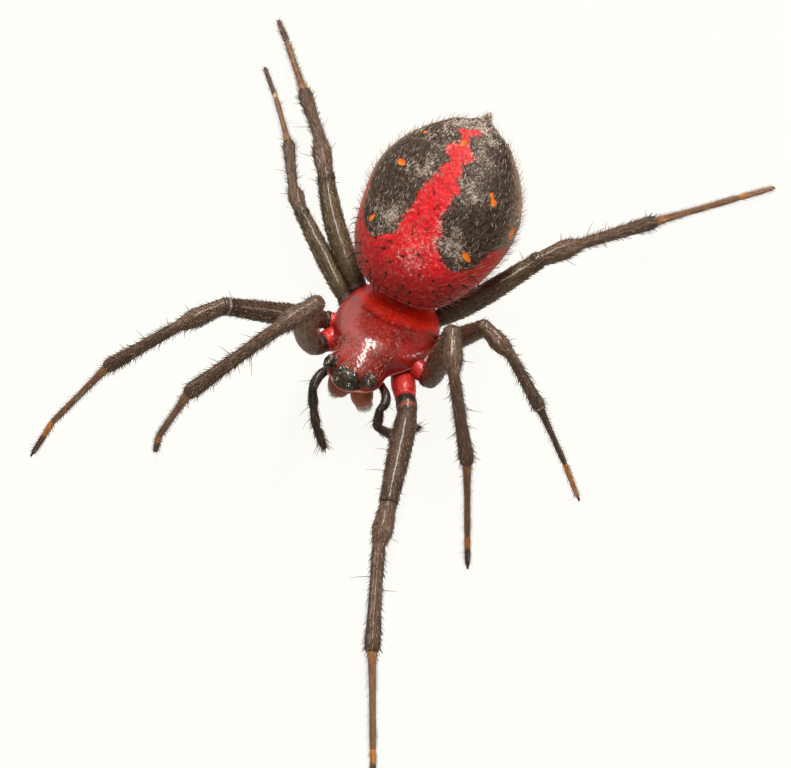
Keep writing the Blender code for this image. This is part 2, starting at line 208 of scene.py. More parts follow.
def closed_grid(shape, rings, near, far, **values):
    """Adds rings of points (rings, sides, 3) with a pole at each end."""
    count, sides = rings.shape[:2]
    points = np.concatenate([rings.reshape(-1, 3), [near, far]])
    j = np.arange(sides)
    k = (j + 1) % sides
    pole, last = count * sides, (count - 1) * sides
    tris = np.concatenate([
        np.stack([np.full(sides, pole), k, j], axis=1),
        np.stack([np.full(sides, pole + 1), last + j, last + k], axis=1),
    ])
    spread = {}
    for name, value in values.items():
        value = np.asarray(value, float)
        if value.shape[:2] == (count, sides):
            flat = value.reshape(count * sides, *value.shape[2:])
            spread[name] = np.concatenate([flat, value[:1].mean(axis=1), value[-1:].mean(axis=1)])
        elif value.shape[:1] == (count,):
            flat = np.repeat(value, sides, axis=0)
            spread[name] = np.concatenate([flat, value[:1], value[-1:]])
        else:
            spread[name] = value
    shape.add(points, grid_faces(count, sides), tris, **spread)


def transported(tangents, start):
    """Directions square to the tangents, carried along with no twist."""
    out = []
    across = start - tangents[0] * (start @ tangents[0])
    for tangent in tangents:
        across = unit(across - tangent * (across @ tangent))
        out.append(across)
    return np.array(out)


def smooth_line(points, count):
    """A smooth curve through the points, evenly shared out."""
    points = np.asarray(points, float)
    at = np.concatenate([[0], np.cumsum(np.linalg.norm(np.diff(points, axis=0), axis=1))])
    at /= at[-1]
    share = np.linspace(0, 1, count)
    return np.stack([curve(share, *zip(at, points[:, c])) for c in range(3)], axis=1)


def tube(shape, points, radii, sides, dorsal=(0, 0, 1), flatten=1.0, **values):
    """A closed tube along points, its ends rounded by its own radii."""
    points, radii = np.asarray(points, float), np.asarray(radii, float)
    tangents = unit(np.gradient(points, axis=0))
    up = transported(tangents, np.asarray(dorsal, float))
    side = np.cross(tangents, up)
    angle = np.arange(sides) * 2 * math.pi / sides
    ring = (
        up[:, None] * np.cos(angle)[None, :, None] * flatten
        + side[:, None] * np.sin(angle)[None, :, None]
    )
    rings = points[:, None] + ring * radii[:, None, None]
    closed_grid(shape, rings, points[0] - tangents[0] * radii[0] * 0.3, points[-1] + tangents[-1] * radii[-1] * 0.3, **values)


def lump(shape, centre, semi, turn=None, sides=32, rings=20, **values):
    """An ellipsoid."""
    t = np.linspace(0, math.pi, rings + 2)[1:-1]
    a = np.arange(sides) * 2 * math.pi / sides
    ball = np.stack([
        np.sin(t)[:, None] * np.cos(a), np.sin(t)[:, None] * np.sin(a),
        np.broadcast_to(np.cos(t)[:, None], (rings, sides)),
    ], axis=2)
    turn = np.eye(3) if turn is None else turn
    place = lambda p: (p * np.asarray(semi)) @ turn.T + np.asarray(centre)
    # Rings run from the top down, so they are turned round for faces that look out.
    closed_grid(shape, place(ball[::-1]), place(np.array([0, 0, -1.0])), place(np.array([0, 0, 1.0])), **values)


def remeshed(shape, voxel, steps):
    """The outside of all the gathered closed shapes as one even, softened skin."""
    points, quads, tris = shape.arrays()
    mesh = bpy.data.meshes.new("mould")
    mesh.from_pydata(points.tolist(), [], quads.tolist() + tris.tolist())
    obj = bpy.data.objects.new("mould", mesh)
    bpy.context.scene.collection.objects.link(obj)
    step = obj.modifiers.new("voxels", "REMESH")
    step.mode = "VOXEL"
    step.voxel_size = voxel
    soft = obj.modifiers.new("soft", "SMOOTH")
    soft.factor, soft.iterations = 0.5, steps
    bpy.context.view_layer.update()
    made = obj.evaluated_get(bpy.context.evaluated_depsgraph_get()).to_mesh()
    count = len(made.vertices)
    co, normal = np.empty(count * 3, np.float32), np.empty(count * 3, np.float32)
    made.vertices.foreach_get("co", co)
    made.vertex_normals.foreach_get("vector", normal)
    faces = [tuple(p.vertices) for p in made.polygons]
    obj.evaluated_get(bpy.context.evaluated_depsgraph_get()).to_mesh_clear()
    bpy.data.objects.remove(obj)
    bpy.data.meshes.remove(mesh)
    quads = np.array([f for f in faces if len(f) == 4], int).reshape(-1, 4)
    tris = np.array([f for f in faces if len(f) == 3], int).reshape(-1, 3)
    return co.reshape(-1, 3).astype(float), normal.reshape(-1, 3).astype(float), quads, tris


# ------------------------------------------------------------------- hairs
def hairs(shape, root, normal, lie, length, radius, lift0, lift1, tint, place, sides=3, steps=3, sink=0.012, tip_tint=None, bend=None):
    """Tapered hairs. They leave the skin at lift0 and end at lift1, in radians,
    measured from the lie of the coat. place is each root's spot on the skin's
    unwrap."""
    n = len(root)
    if n == 0:
        return
    normal, lie = unit(normal), unit(lie)
    lie = unit(lie - normal * (lie * normal).sum(axis=1, keepdims=True))
    side = np.cross(lie, normal)
    lift0, lift1 = np.broadcast_to(lift0, n), np.broadcast_to(lift1, n)
    length, radius = np.broadcast_to(length, n), np.broadcast_to(radius, n)
    s = np.linspace(0, 1, steps + 1)
    middle = (s[:-1] + s[1:]) / 2
    angle = lift0[:, None] + (lift1 - lift0)[:, None] * middle
    way = lie[:, None] * np.cos(angle)[..., None] + normal[:, None] * np.sin(angle)[..., None]
    if bend is not None:
        way = unit(way + side[:, None] * (np.broadcast_to(bend, n)[:, None] * middle)[..., None])
    legs = way * (length / steps)[:, None, None]
    line = np.concatenate([np.zeros((n, 1, 3)), np.cumsum(legs, axis=1)], axis=1)
    line += (root - normal * sink)[:, None]
    tangent = np.concatenate([way[:, :1], (way[:, :-1] + way[:, 1:]) / 2, way[:, -1:]], axis=1)
    up = unit(np.cross(side[:, None], tangent))
    turn = np.arange(sides) * 2 * math.pi / sides
    ring = side[:, None, None] * np.cos(turn)[None, None, :, None] + up[:, :, None] * np.sin(turn)[None, None, :, None]
    size = radius[:, None] * np.maximum(1 - s[:-1], 0.05)[None] ** 0.55
    body = line[:, :-1, None] + ring[:, :-1] * size[:, :, None, None]
    per = steps * sides + 1
    points = np.concatenate([body.reshape(n, -1, 3), line[:, -1:]], axis=1)
    points[..., 2] = np.maximum(points[..., 2], 0.004)
    j = np.arange(sides)
    k = (j + 1) % sides
    quads = np.concatenate([
        np.stack([i * sides + j, i * sides + k, (i + 1) * sides + k, (i + 1) * sides + j], axis=1)
        for i in range(steps - 1)
    ]) if steps > 1 else np.zeros((0, 4), int)
    tris = np.stack([(steps - 1) * sides + j, (steps - 1) * sides + k, np.full(sides, steps * sides)], axis=1)
    if sides == 3:
        tris = np.concatenate([tris, [[2, 1, 0]]])
    else:
        quads = np.concatenate([quads, [[3, 2, 1, 0]]]) if sides == 4 else quads
    base = (np.arange(n) * per)[:, None, None]
    share = np.concatenate([np.repeat(s[:-1], sides), [1.0]])
    tint = np.broadcast_to(np.asarray(tint, float), (n, 3))
    ends = tint if tip_tint is None else np.broadcast_to(np.asarray(tip_tint, float), (n, 3))
    colour = tint[:, None] * (1 - share)[None, :, None] + ends[:, None] * share[None, :, None]
    spot = np.concatenate([np.tile(j / sides, steps), [0.5]])
    uv = place[:, None] + 0.003 * (np.stack([spot, share], axis=1) - 0.5)[None]
    shape.add(
        points.reshape(-1, 3), (quads[None] + base).reshape(-1, 4), (tris[None] + base).reshape(-1, 3),
        tint=colour.reshape(-1, 3), tip=np.tile(share, n), spot=np.clip(uv, 0.0005, 0.9995).reshape(-1, 2),
    )


# --------------------------------------------------------------- materials
class Look:
    """A Principled material with a few node-making shorthands."""

    def __init__(self, name, roughness=0.4, **sockets):
        self.material = bpy.data.materials.new(name)
        self.material.use_nodes = True
        self.tree = self.material.node_tree
        self.shader = self.tree.nodes["Principled BSDF"]
        self.set("Roughness", roughness)
        for socket, value in sockets.items():
            self.set(socket.replace("_", " "), value)
        self._mm = None

    def set(self, socket, value):
        self.shader.inputs[socket].default_value = value

    def node(self, kind, **settings):
        made = self.tree.nodes.new(kind)
        for key, value in settings.items():
            setattr(made, key, value)
        return made

    def link(self, out, into):
        self.tree.links.new(out, into)

    def feed(self, socket, value):
        if isinstance(value, bpy.types.NodeSocket):
            self.link(value, socket)
        elif isinstance(value, (tuple, list)) and len(value) == 3 and socket.type == "RGBA":
            socket.default_value = (*value, 1)
        else:
            socket.default_value = value

    def mm(self):
        """Place on the object, in millimetres."""
        if self._mm is None:
            where = self.node("ShaderNodeTexCoord")
            scale = self.node("ShaderNodeVectorMath", operation="SCALE")
            self.link(where.outputs["Object"], scale.inputs[0])
            scale.inputs["Scale"].default_value = 1000
            self._mm = scale.outputs[0]
        return self._mm

    def attribute(self, name, kind="Fac"):
        return self.node("ShaderNodeAttribute", attribute_name=name).outputs[kind]

    def stretch(self, vector, scale):
        made = self.node("ShaderNodeVectorMath", operation="MULTIPLY")
        self.feed(made.inputs[0], vector)
        made.inputs[1].default_value = scale
        return made.outputs[0]

    def noise(self, scale, detail=3.0, rough=0.55, vector=None, distort=0.0):
        made = self.node("ShaderNodeTexNoise")
        self.link(vector or self.mm(), made.inputs["Vector"])
        made.inputs["Scale"].default_value = scale
        made.inputs["Detail"].default_value = detail
        made.inputs["Roughness"].default_value = rough
        made.inputs["Distortion"].default_value = distort
        return made.outputs["Fac"]

    def cells(self, scale, vector=None, feature="F1", out="Distance"):
        made = self.node("ShaderNodeTexVoronoi", feature=feature)
        self.link(vector or self.mm(), made.inputs["Vector"])
        made.inputs["Scale"].default_value = scale
        return made.outputs[out]

    def math(self, operation, a, b=0.0, c=None):
        made = self.node("ShaderNodeMath", operation=operation)
        self.feed(made.inputs[0], a)
        self.feed(made.inputs[1], b)
        if c is not None:
            self.feed(made.inputs[2], c)
        return made.outputs[0]

    def range(self, value, low, high, to_low=0.0, to_high=1.0, smooth=True):
        made = self.node("ShaderNodeMapRange", interpolation_type="SMOOTHSTEP" if smooth else "LINEAR")
        self.feed(made.inputs["Value"], value)
        for name, number in (("From Min", low), ("From Max", high), ("To Min", to_low), ("To Max", to_high)):
            made.inputs[name].default_value = number
        return made.outputs["Result"]

    def mix(self, share, a, b, blend="MIX"):
        made = self.node("ShaderNodeMix", data_type="RGBA", blend_type=blend)
        self.feed(made.inputs[0], share)
        self.feed(made.inputs[6], a)
        self.feed(made.inputs[7], b)
        return made.outputs[2]

    def base(self, value):
        self.feed(self.shader.inputs["Base Color"], value)

    def rough(self, value):
        self.feed(self.shader.inputs["Roughness"], value)

    def bump(self, *layers):
        """Each layer is (height from 0 to 1, depth in mm)."""
        last = None
        for height, depth in layers:
            made = self.node("ShaderNodeBump")
            made.inputs["Distance"].default_value = depth * MM
            self.link(height, made.inputs["Height"])
            if last is not None:
                self.link(last, made.inputs["Normal"])
            last = made.outputs["Normal"]
        self.link(last, self.shader.inputs["Normal"])
        return self.material


def shell_look():
    look = Look("carapace_shell", 0.3, Subsurface_Weight=0.10, Subsurface_Scale=0.0004, Coat_Roughness=0.08, Coat_IOR=1.5, IOR=1.42)
    look.set("Subsurface Radius", (1.0, 0.12, 0.08))
    cloud = look.noise(1.1, 4)
    fine = look.noise(7.0, 3)
    grit = look.noise(22.0, 3, 0.6)
    red = look.mix(look.range(cloud, 0.35, 0.68), (0.22, 0.006, 0.004), (0.37, 0.012, 0.006))
    red = look.mix(look.range(fine, 0.45, 0.8, 0, 0.45), red, (0.14, 0.006, 0.004))
    # Where rear is high the red is painted brighter and clearer: painted light, standing in for light shining through
    # the thin shell where the abdomen's shade falls.
    red = look.mix(look.attribute("rear"), red, look.mix(look.range(fine, 0.3, 0.75), (0.86, 0.022, 0.006), (0.62, 0.014, 0.004)))
    red = look.mix(look.range(look.cells(5.5), 0.10, 0.03, 0, 0.55), red, (0.62, 0.22, 0.14))
    ragged = look.math("ADD", look.attribute("ocular"), look.range(look.noise(9.0, 3), 0.3, 0.7, -0.22, 0.22))
    black = look.range(ragged, 0.38, 0.62)
    # A pale line painted along the rolled edge and the lip under the eyes: a painted highlight.
    red = look.mix(look.attribute("rim"), red, (0.85, 0.36, 0.28))
    look.base(look.mix(black, red, look.mix(look.range(fine, 0.35, 0.75), (0.013, 0.008, 0.004), (0.092, 0.051, 0.019))))
    look.rough(look.range(fine, 0.3, 0.7, 0.20, 0.36))
    glaze = look.math("MULTIPLY", look.range(black, 0, 1, 1.0, 0.80), look.range(look.attribute("rear"), 0, 1, 1.0, 0.45))
    look.link(glaze, look.shader.inputs["Coat Weight"])
    pits = look.math("MULTIPLY", look.noise(10, 3), black)
    domes = look.math("MULTIPLY", look.range(look.cells(6.5), 0.20, 0.02), look.range(look.attribute("rear"), 0, 0.5, 1, 0.15))
    look.bump((look.noise(14, 3), 0.012), (look.cells(11), 0.008), (domes, 0.014), (grit, 0.009), (pits, 0.036))
    return look.material


def coxa_look(name, colour, dark):
    look = Look(name, 0.22, Subsurface_Weight=0.12, Subsurface_Scale=0.0004, Coat_Weight=0.3, Coat_Roughness=0.1)
    look.set("Subsurface Radius", (1.0, 0.12, 0.08))
    look.base(look.mix(look.range(look.noise(3.0, 4), 0.35, 0.7), colour, dark))
    look.rough(look.range(look.noise(8.0, 3), 0.3, 0.7, 0.18, 0.34))
    look.bump((look.noise(14, 3), 0.008), (look.cells(9), 0.004))
    return look.material


def leg_look():
    look = Look("leg_cuticle", 0.35, Metallic=0.15, Specular_IOR_Level=0.50, Coat_Weight=0.48, Coat_Roughness=0.13)
    skin = look.attribute("leg", "Vector")
    streaks = look.noise(1.0, 4, vector=look.stretch(skin, (20, 20, 8.0)))
    grain = look.cells(1.0, vector=look.stretch(skin, (22, 22, 15)))
    fine = look.noise(1.0, 3, vector=look.stretch(skin, (26, 26, 20)))
    tint = look.attribute("tint", "Color")
    shade = look.mix(look.range(streaks, 0.32, 0.72), (0.70, 0.66, 0.62), (1.60, 1.58, 1.55))
    dull = look.range(look.attribute("dry"), 0.205, 0.24)
    colour = look.mix(dull, tint, look.mix(1.0, tint, shade, "MULTIPLY"))
    glint = look.math("MULTIPLY", look.range(grain, 0.02, 0.20, 1, 0), look.range(fine, 0.42, 0.60))
    glint = look.math("MULTIPLY", look.range(glint, 0.25, 0.7, 0, 0.55), dull)
    look.base(look.mix(glint, colour, (0.56, 0.44, 0.34)))
    dry = look.attribute("dry")
    look.rough(look.math("ADD", dry, look.range(fine, 0.3, 0.7, -0.05, 0.08)))
    look.bump((streaks, 0.032), (look.range(grain, 0.0, 0.30, 1, 0), 0.030), (fine, 0.022))
    return look.material


def abdomen_look():
    look = Look("abdomen_skin", 0.42, Subsurface_Weight=0.06, Subsurface_Scale=0.0003, Specular_IOR_Level=0.25, Sheen_Weight=0.35, Sheen_Roughness=0.35)
    look.set("Sheen Tint", (1.0, 0.82, 0.70, 1))
    look.set("Subsurface Radius", (1.0, 0.12, 0.08))
    blot = look.noise(2.6, 5, 0.62)
    crumb = look.noise(7.5, 4, 0.6)
    speck = look.noise(17, 3, 0.6)
    ragged = look.range(look.noise(5.0, 5, 0.68), 0.25, 0.75, -0.17, 0.17, smooth=False)
    edge = look.math("ADD", look.attribute("red"), ragged)
    edge = look.math("ADD", edge, look.range(speck, 0.3, 0.7, -0.11, 0.11, smooth=False))
    is_red = look.range(edge, -0.075, 0.075)
    # Black parts: velvety brown-black with ashen clouds.
    ash = look.math("ADD", look.attribute("ash"), look.range(blot, 0.25, 0.75, -0.34, 0.34, smooth=False))
    ash = look.math("ADD", ash, look.range(crumb, 0.25, 0.75, -0.26, 0.26, smooth=False))
    black = look.mix(look.range(crumb, 0.35, 0.7), (0.021, 0.013, 0.009), (0.066, 0.042, 0.028))
    # Painted sheen: where it turns down at the sides the black is painted paler brown, standing in for light caught by
    # the hairs at the outline.
    black = look.mix(look.attribute("flank"), black, look.mix(look.range(crumb, 0.3, 0.7), (0.13, 0.085, 0.056), (0.31, 0.215, 0.155)))
    black = look.mix(look.range(ash, 0.50, 0.95, 0, 0.50), black, (0.17, 0.125, 0.095))
    black = look.mix(look.range(look.math("ADD", ash, look.range(speck, 0.3, 0.7, -0.3, 0.3)), 0.78, 1.04, 0, 0.78), black, (0.56, 0.465, 0.405))
    # Red parts: carmine with paler pink flecks.
    red = look.mix(look.range(blot, 0.32, 0.70), (0.58, 0.0040, 0.012), (0.84, 0.009, 0.018))
    red = look.mix(look.attribute("wine"), red, look.mix(look.range(crumb, 0.3, 0.7), (0.27, 0.011, 0.011), (0.46, 0.030, 0.022)))
    pale = look.math("ADD", look.attribute("blush"), look.range(crumb, 0.3, 0.75, -0.38, 0.30, smooth=False))
    pale = look.math("ADD", pale, look.range(edge, 0.04, 0.26, 0.26, 0))
    red = look.mix(look.range(pale, 0.42, 0.95, 0, 0.50), red, (0.74, 0.14, 0.13))
    red = look.mix(look.range(look.math("ADD", pale, look.range(speck, 0.35, 0.7, -0.3, 0.25)), 0.62, 0.95, 0, 0.75), red, (0.86, 0.52, 0.46))
    colour = look.mix(is_red, black, red)
    spot = look.range(look.math("ADD", look.attribute("sigillum"), look.range(speck, 0.3, 0.7, -0.02, 0.02)), -0.012, 0.012)
    colour = look.mix(spot, colour, look.mix(look.range(crumb, 0.3, 0.7), (0.84, 0.14, 0.003), (0.95, 0.23, 0.006)))
    # A dark spot round the root of each stout bristle.
    colour = look.mix(look.range(look.attribute("pore"), 0.25, 0.6, 0, 0.85), colour, (0.035, 0.006, 0.005))
    look.base(colour)
    look.rough(look.range(crumb, 0.3, 0.7, 0.28, 0.48))
    look.bump((look.cells(6.0), 0.020), (crumb, 0.030), (speck, 0.012))
    return look.material


def hair_look(name, roughness=0.38, **sockets):
    look = Look(name, roughness, **sockets)
    tint = look.attribute("tint", "Color")
    look.base(look.mix(look.range(look.noise(12, 2), 0.3, 0.7), tint, look.mix(1.0, tint, (0.60, 0.56, 0.54), "MULTIPLY")))
    look.bump((look.noise(60, 2), 0.0015))
    return look.material


def eye_look():
    look = Look("eye_lens", 0.08, Coat_Weight=1.0, Coat_Roughness=0.09, Coat_IOR=1.8, IOR=1.6)
    depth = look.attribute("depth")
    lens = look.mix(look.range(depth, 0.0, 1.0), (0.024, 0.012, 0.006), (0.005, 0.0035, 0.003))
    lens = look.mix(look.range(look.noise(9, 3), 0.45, 0.75, 0, 0.5), lens, (0.060, 0.030, 0.013))
    look.base(look.mix(look.attribute("collar"), lens, (0.024, 0.014, 0.008)))
    look.rough(look.range(look.attribute("collar"), 0, 1, 0.04, 0.35))
    look.bump((look.noise(22, 2), 0.0012))
    return look.material


def jaw_look():
    look = Look("chelicera_cuticle", 0.22, Subsurface_Weight=0.15, Subsurface_Scale=0.0004, Coat_Weight=0.15, Coat_Roughness=0.10, Specular_IOR_Level=0.4)
    look.set("Subsurface Radius", (1.0, 0.2, 0.1))
    cloud = look.noise(3.2, 4)
    brown = look.mix(look.range(cloud, 0.3, 0.7), (0.190, 0.040, 0.015), (0.36, 0.095, 0.036))
    look.base(look.mix(look.attribute("pale"), brown, (0.60, 0.42, 0.32)))
    look.rough(look.range(look.noise(9, 3), 0.3, 0.7, 0.16, 0.30))
    look.bump((look.noise(15, 3), 0.008), (look.cells(12), 0.004))
    return look.material


def horn_look(name, dark, light):
    look = Look(name, 0.18, Coat_Weight=0.4, Coat_Roughness=0.08)
    look.base(look.mix(look.range(look.attribute("tip"), 0, 1), dark, light))
    look.rough(look.range(look.noise(30, 2), 0.3, 0.7, 0.14, 0.26))
    look.bump((look.noise(40, 2), 0.002))
    return look.material


SHELL = shell_look()
COXA_RED = coxa_look("sternum_cuticle", (0.42, 0.020, 0.014), (0.24, 0.010, 0.008))
LEG = leg_look()
ABDOMEN = abdomen_look()
SETAE = hair_look("setae_dark", 0.35)
SETAE_PALE = hair_look("setae_pale", 0.32)
EYE = eye_look()
JAW = jaw_look()
CLAW = horn_look("claw_horn", (0.035, 0.012, 0.006), (0.16, 0.050, 0.018))
FANG_HORN = horn_look("fang_horn", (0.16, 0.030, 0.012), (0.030, 0.006, 0.004))


# ----------------------------------------------------------------- carapace
PITCH = np.array(Matrix.Rotation(math.radians(PROSOMA_PITCH), 3, "X"))


def from_prosoma(points):
    return np.asarray(points, float) @ PITCH.T + np.array([0, 0, COXA_LEVEL])


def to_prosoma(points):
    return (np.asarray(points, float) - np.array([0, 0, COXA_LEVEL])) @ PITCH


def carapace_half_width(y):
    y = np.asarray(y, float)
    thorax = THORAX_HALF_WIDTH * np.sqrt(np.maximum(0, 1 - ((y - 0.15) / (CARAPACE_REAR - 0.13)) ** 2))
    head = np.where(y < -1.9, HEAD_HALF_WIDTH * np.maximum(0, 1 - (np.maximum(0, -1.9 - y) / 0.60) ** 3) ** 0.5, HEAD_HALF_WIDTH)
    return np.where(y > 0, thorax, (thorax**6 + head**6) ** (1 / 6))


def carapace_height(y):
    y = np.asarray(y, float)
    rear = THORAX_HEIGHT * (1 - np.maximum(0, (y - 0.5) / (CARAPACE_REAR - 0.5 + 0.06)) ** 2.2)
    head = (HEAD_HEIGHT - THORAX_HEIGHT) * smooth((0.0 - y) / 1.2)
    return rear + head - 0.26 * np.maximum(0, (-1.5 - y) / 0.96) ** 2


def carapace():
    mould = Shape()
    y = -0.275 - 2.185 * np.cos(np.linspace(0.06, math.pi - 0.06, 90))
    angle = np.arange(96) * 2 * math.pi / 96
    c, s = np.cos(angle), np.sin(angle)
    width, height = carapace_half_width(y), carapace_height(y)
    x = width[:, None] * np.sign(c) * np.abs(c) ** 0.85
    z = np.where(s > 0, height[:, None] * np.abs(s) ** 0.9, -MARGIN_DEPTH * np.abs(s) ** 0.6)
    rings = np.stack([x, np.broadcast_to(y[:, None], x.shape), z], axis=2)
    ends = np.array([[0, y[0] - 0.01, 0.1], [0, y[-1] + 0.01, 0.1]])
    # Rings run to the rear with the angle turning about -Y, so they are turned round.
    closed_grid(mould, from_prosoma(rings[:, ::-1]), from_prosoma(ends[0]), from_prosoma(ends[1]))
    # The eyes' mounds: a prow for the four middle eyes, one at each corner.
    lump(mould, (0, -2.42, 2.60), (0.45, 0.28, 0.29))
    lump(mould, (0, -2.62, 2.50), (0.36, 0.20, 0.16))
    lump(mould, (0, -2.44, 2.27), (0.50, 0.21, 0.22))
    for sign in (1, -1):
        for kind, size, back in (("anterior_median", 0.175, 0.13), ("posterior_median", 0.180, 0.13), ("anterior_lateral", 0.145, 0.10), ("posterior_lateral", 0.145, 0.10)):
            place, _, look = EYES[kind]
            place, look = np.array([place[0] * sign, *place[1:]]), unit(np.array([look[0] * sign, *look[1:]]))
            lump(mould, place - look * back, (size, size, size))
        lump(mould, (0.75 * sign, -2.17, 2.57), (0.21, 0.24, 0.19))
    # The rolled edge all round.
    round_y = 0.15 - 2.02 * np.cos(np.linspace(0.25, math.pi - 0.3, 70)) - 0.25
    round_y = np.clip(round_y, -2.40, 1.84)
    for sign in (1, -1):
        edge = np.stack([sign * (carapace_half_width(round_y) - 0.012), round_y, np.full_like(round_y, -0.02)], axis=1)
        tube(mould, from_prosoma(edge), np.full(len(edge), 0.034), 10)
    half = np.array([(0.0, -2.80, 2.43), (0.16, -2.785, 2.42), (0.30, -2.72, 2.39), (0.42, -2.61, 2.32), (0.56, -2.49, 2.22), (0.76, -2.35, 2.15)])
    lip = smooth_line(np.concatenate([half[:0:-1] * (-1, 1, 1), half]), 48)
    tube(mould, lip, np.full(len(lip), 0.030), 10)

    points, normal, quads, tris = remeshed(mould, 0.030, 5)
    at = to_prosoma(points)
    x, y, z = np.abs(at[:, 0]), at[:, 1], at[:, 2]
    top = smooth((normal[:, 2] - 0.05) / 0.4)
    # The furrow that parts head and thorax, running forward and out from the pit.
    t = np.clip((0.25 - y) / 1.55, 0, 1)
    furrow_x = 0.10 + 1.02 * t**0.8
    within = smooth((0.45 - y) / 0.3) * smooth((y + 1.55) / 0.35)
    sink = 0.013 * np.exp(-(((x - furrow_x) / 0.13) ** 2)) * within
    # The pit and a shallow saddle before it.
    sink += 0.03 * np.exp(-((at[:, 0] / 0.12) ** 2) - ((y - 0.34) / 0.22) ** 2)
    sink += 0.04 * np.exp(-((at[:, 0] / 0.42) ** 2) - ((y - 0.35) / 0.40) ** 2)
    # Grooves from the pit out between the legs.
    reach = np.hypot(at[:, 0], y - 0.5)
    bearing = np.degrees(np.arctan2(x, -(y - 0.5)))
    for heading, depth in ((58, 0.005), (88, 0.006), (118, 0.006), (150, 0.004)):
        sink += depth * np.exp(-(((bearing - heading) / 6.5) ** 2)) * smooth((reach - 0.25) / 0.4) * smooth((1.65 - reach) / 0.5)
    # The head part stands a little over the thorax, with an uneven edge.
    back_line = 0.24 * at[:, 0] ** 2 - 0.04 + 0.06 * waves(points, 0.40, 12, 3)
    sink -= 0.026 * smooth((back_line + 0.08 - y) / 0.20) * smooth((y + 0.75) / 0.7) * smooth((1.15 - x) / 0.5)
    rough = 0.0045 * waves(points, 0.5, 3) + 0.003 * waves(points, 0.16, 4, 2)
    rough = rough + 0.0045 * waves(points, 0.12, 9, 2) * smooth((0.15 - y) / 0.5)
    near_edge = np.exp(-((z + 0.02) / 0.10) ** 2)
    points = points + normal * ((rough - sink) * top * (1 - near_edge))[:, None]

    ocular = np.zeros(len(points))
    for centre, semi in (((0, -2.50, 2.58), (0.45, 0.36, 0.34)), ((0.77, -2.27, 2.68), (0.28, 0.34, 0.26)), ((-0.77, -2.27, 2.68), (0.28, 0.34, 0.26)), ((0.50, -2.50, 2.50), (0.22, 0.20, 0.17)), ((-0.50, -2.50, 2.50), (0.22, 0.20, 0.17))):
        gap = np.linalg.norm((points - np.array(centre)) / np.array(semi), axis=1)
        ocular = np.maximum(ocular, smooth((1.30 - gap) / 0.45))
    margin = np.abs(x - carapace_half_width(np.clip(y, -2.40, 1.93)))
    # The rolled edge and the lip under the eyes get a pale line: a painted highlight.
    rim = smooth((0.052 - np.abs(z + 0.005)) / 0.03) * smooth((0.14 - np.minimum(margin, np.abs(y + 2.45))) / 0.08)
    for a, b in zip(lip[:-1], lip[1:]):
        reach = np.clip(((points - a) @ (b - a)) / ((b - a) @ (b - a)), 0, 1)
        rim = np.maximum(rim, smooth((0.052 - np.linalg.norm(points - a - reach[:, None] * (b - a), axis=1)) / 0.016))
    ocular *= 1 - rim
    # rear marks the up-facing thorax behind the head's edge. There the shell's red is painted brighter, as painted
    # light under the abdomen's shade, and its coat is thinner.
    rear = smooth((y - back_line + 0.05) / 0.34) * smooth((normal[:, 2] - 0.0) / 0.5)
    shape = Shape()
    shape.add(points, quads, tris, ocular=ocular, rim=0.80 * rim, rear=rear)
    shape.piece("carapace_skin", SHELL, "carapace_red", ["carapace"])
    return points, normal


def on_carapace(x, y):
    """Height of the shell over the middle plane's frame, and its normal."""
    x, y = np.asarray(x, float), np.asarray(y, float)

    def height(px, py):
        width = carapace_half_width(py)
        c = np.clip(np.abs(px) / np.maximum(width, 1e-3), 0, 0.999) ** (1 / 0.85)
        return carapace_height(py) * np.sqrt(1 - c**2) ** 0.9

    z = height(x, y)
    e = 0.02
    dx = (height(x + e, y) - height(x - e, y)) / (2 * e)
    dy = (height(x, y + e) - height(x, y - e)) / (2 * e)
    normal = unit(np.stack([-dx, -dy, np.ones_like(dx)], axis=-1))
    return from_prosoma(np.stack([x, y, z], axis=-1)), normal @ PITCH.T


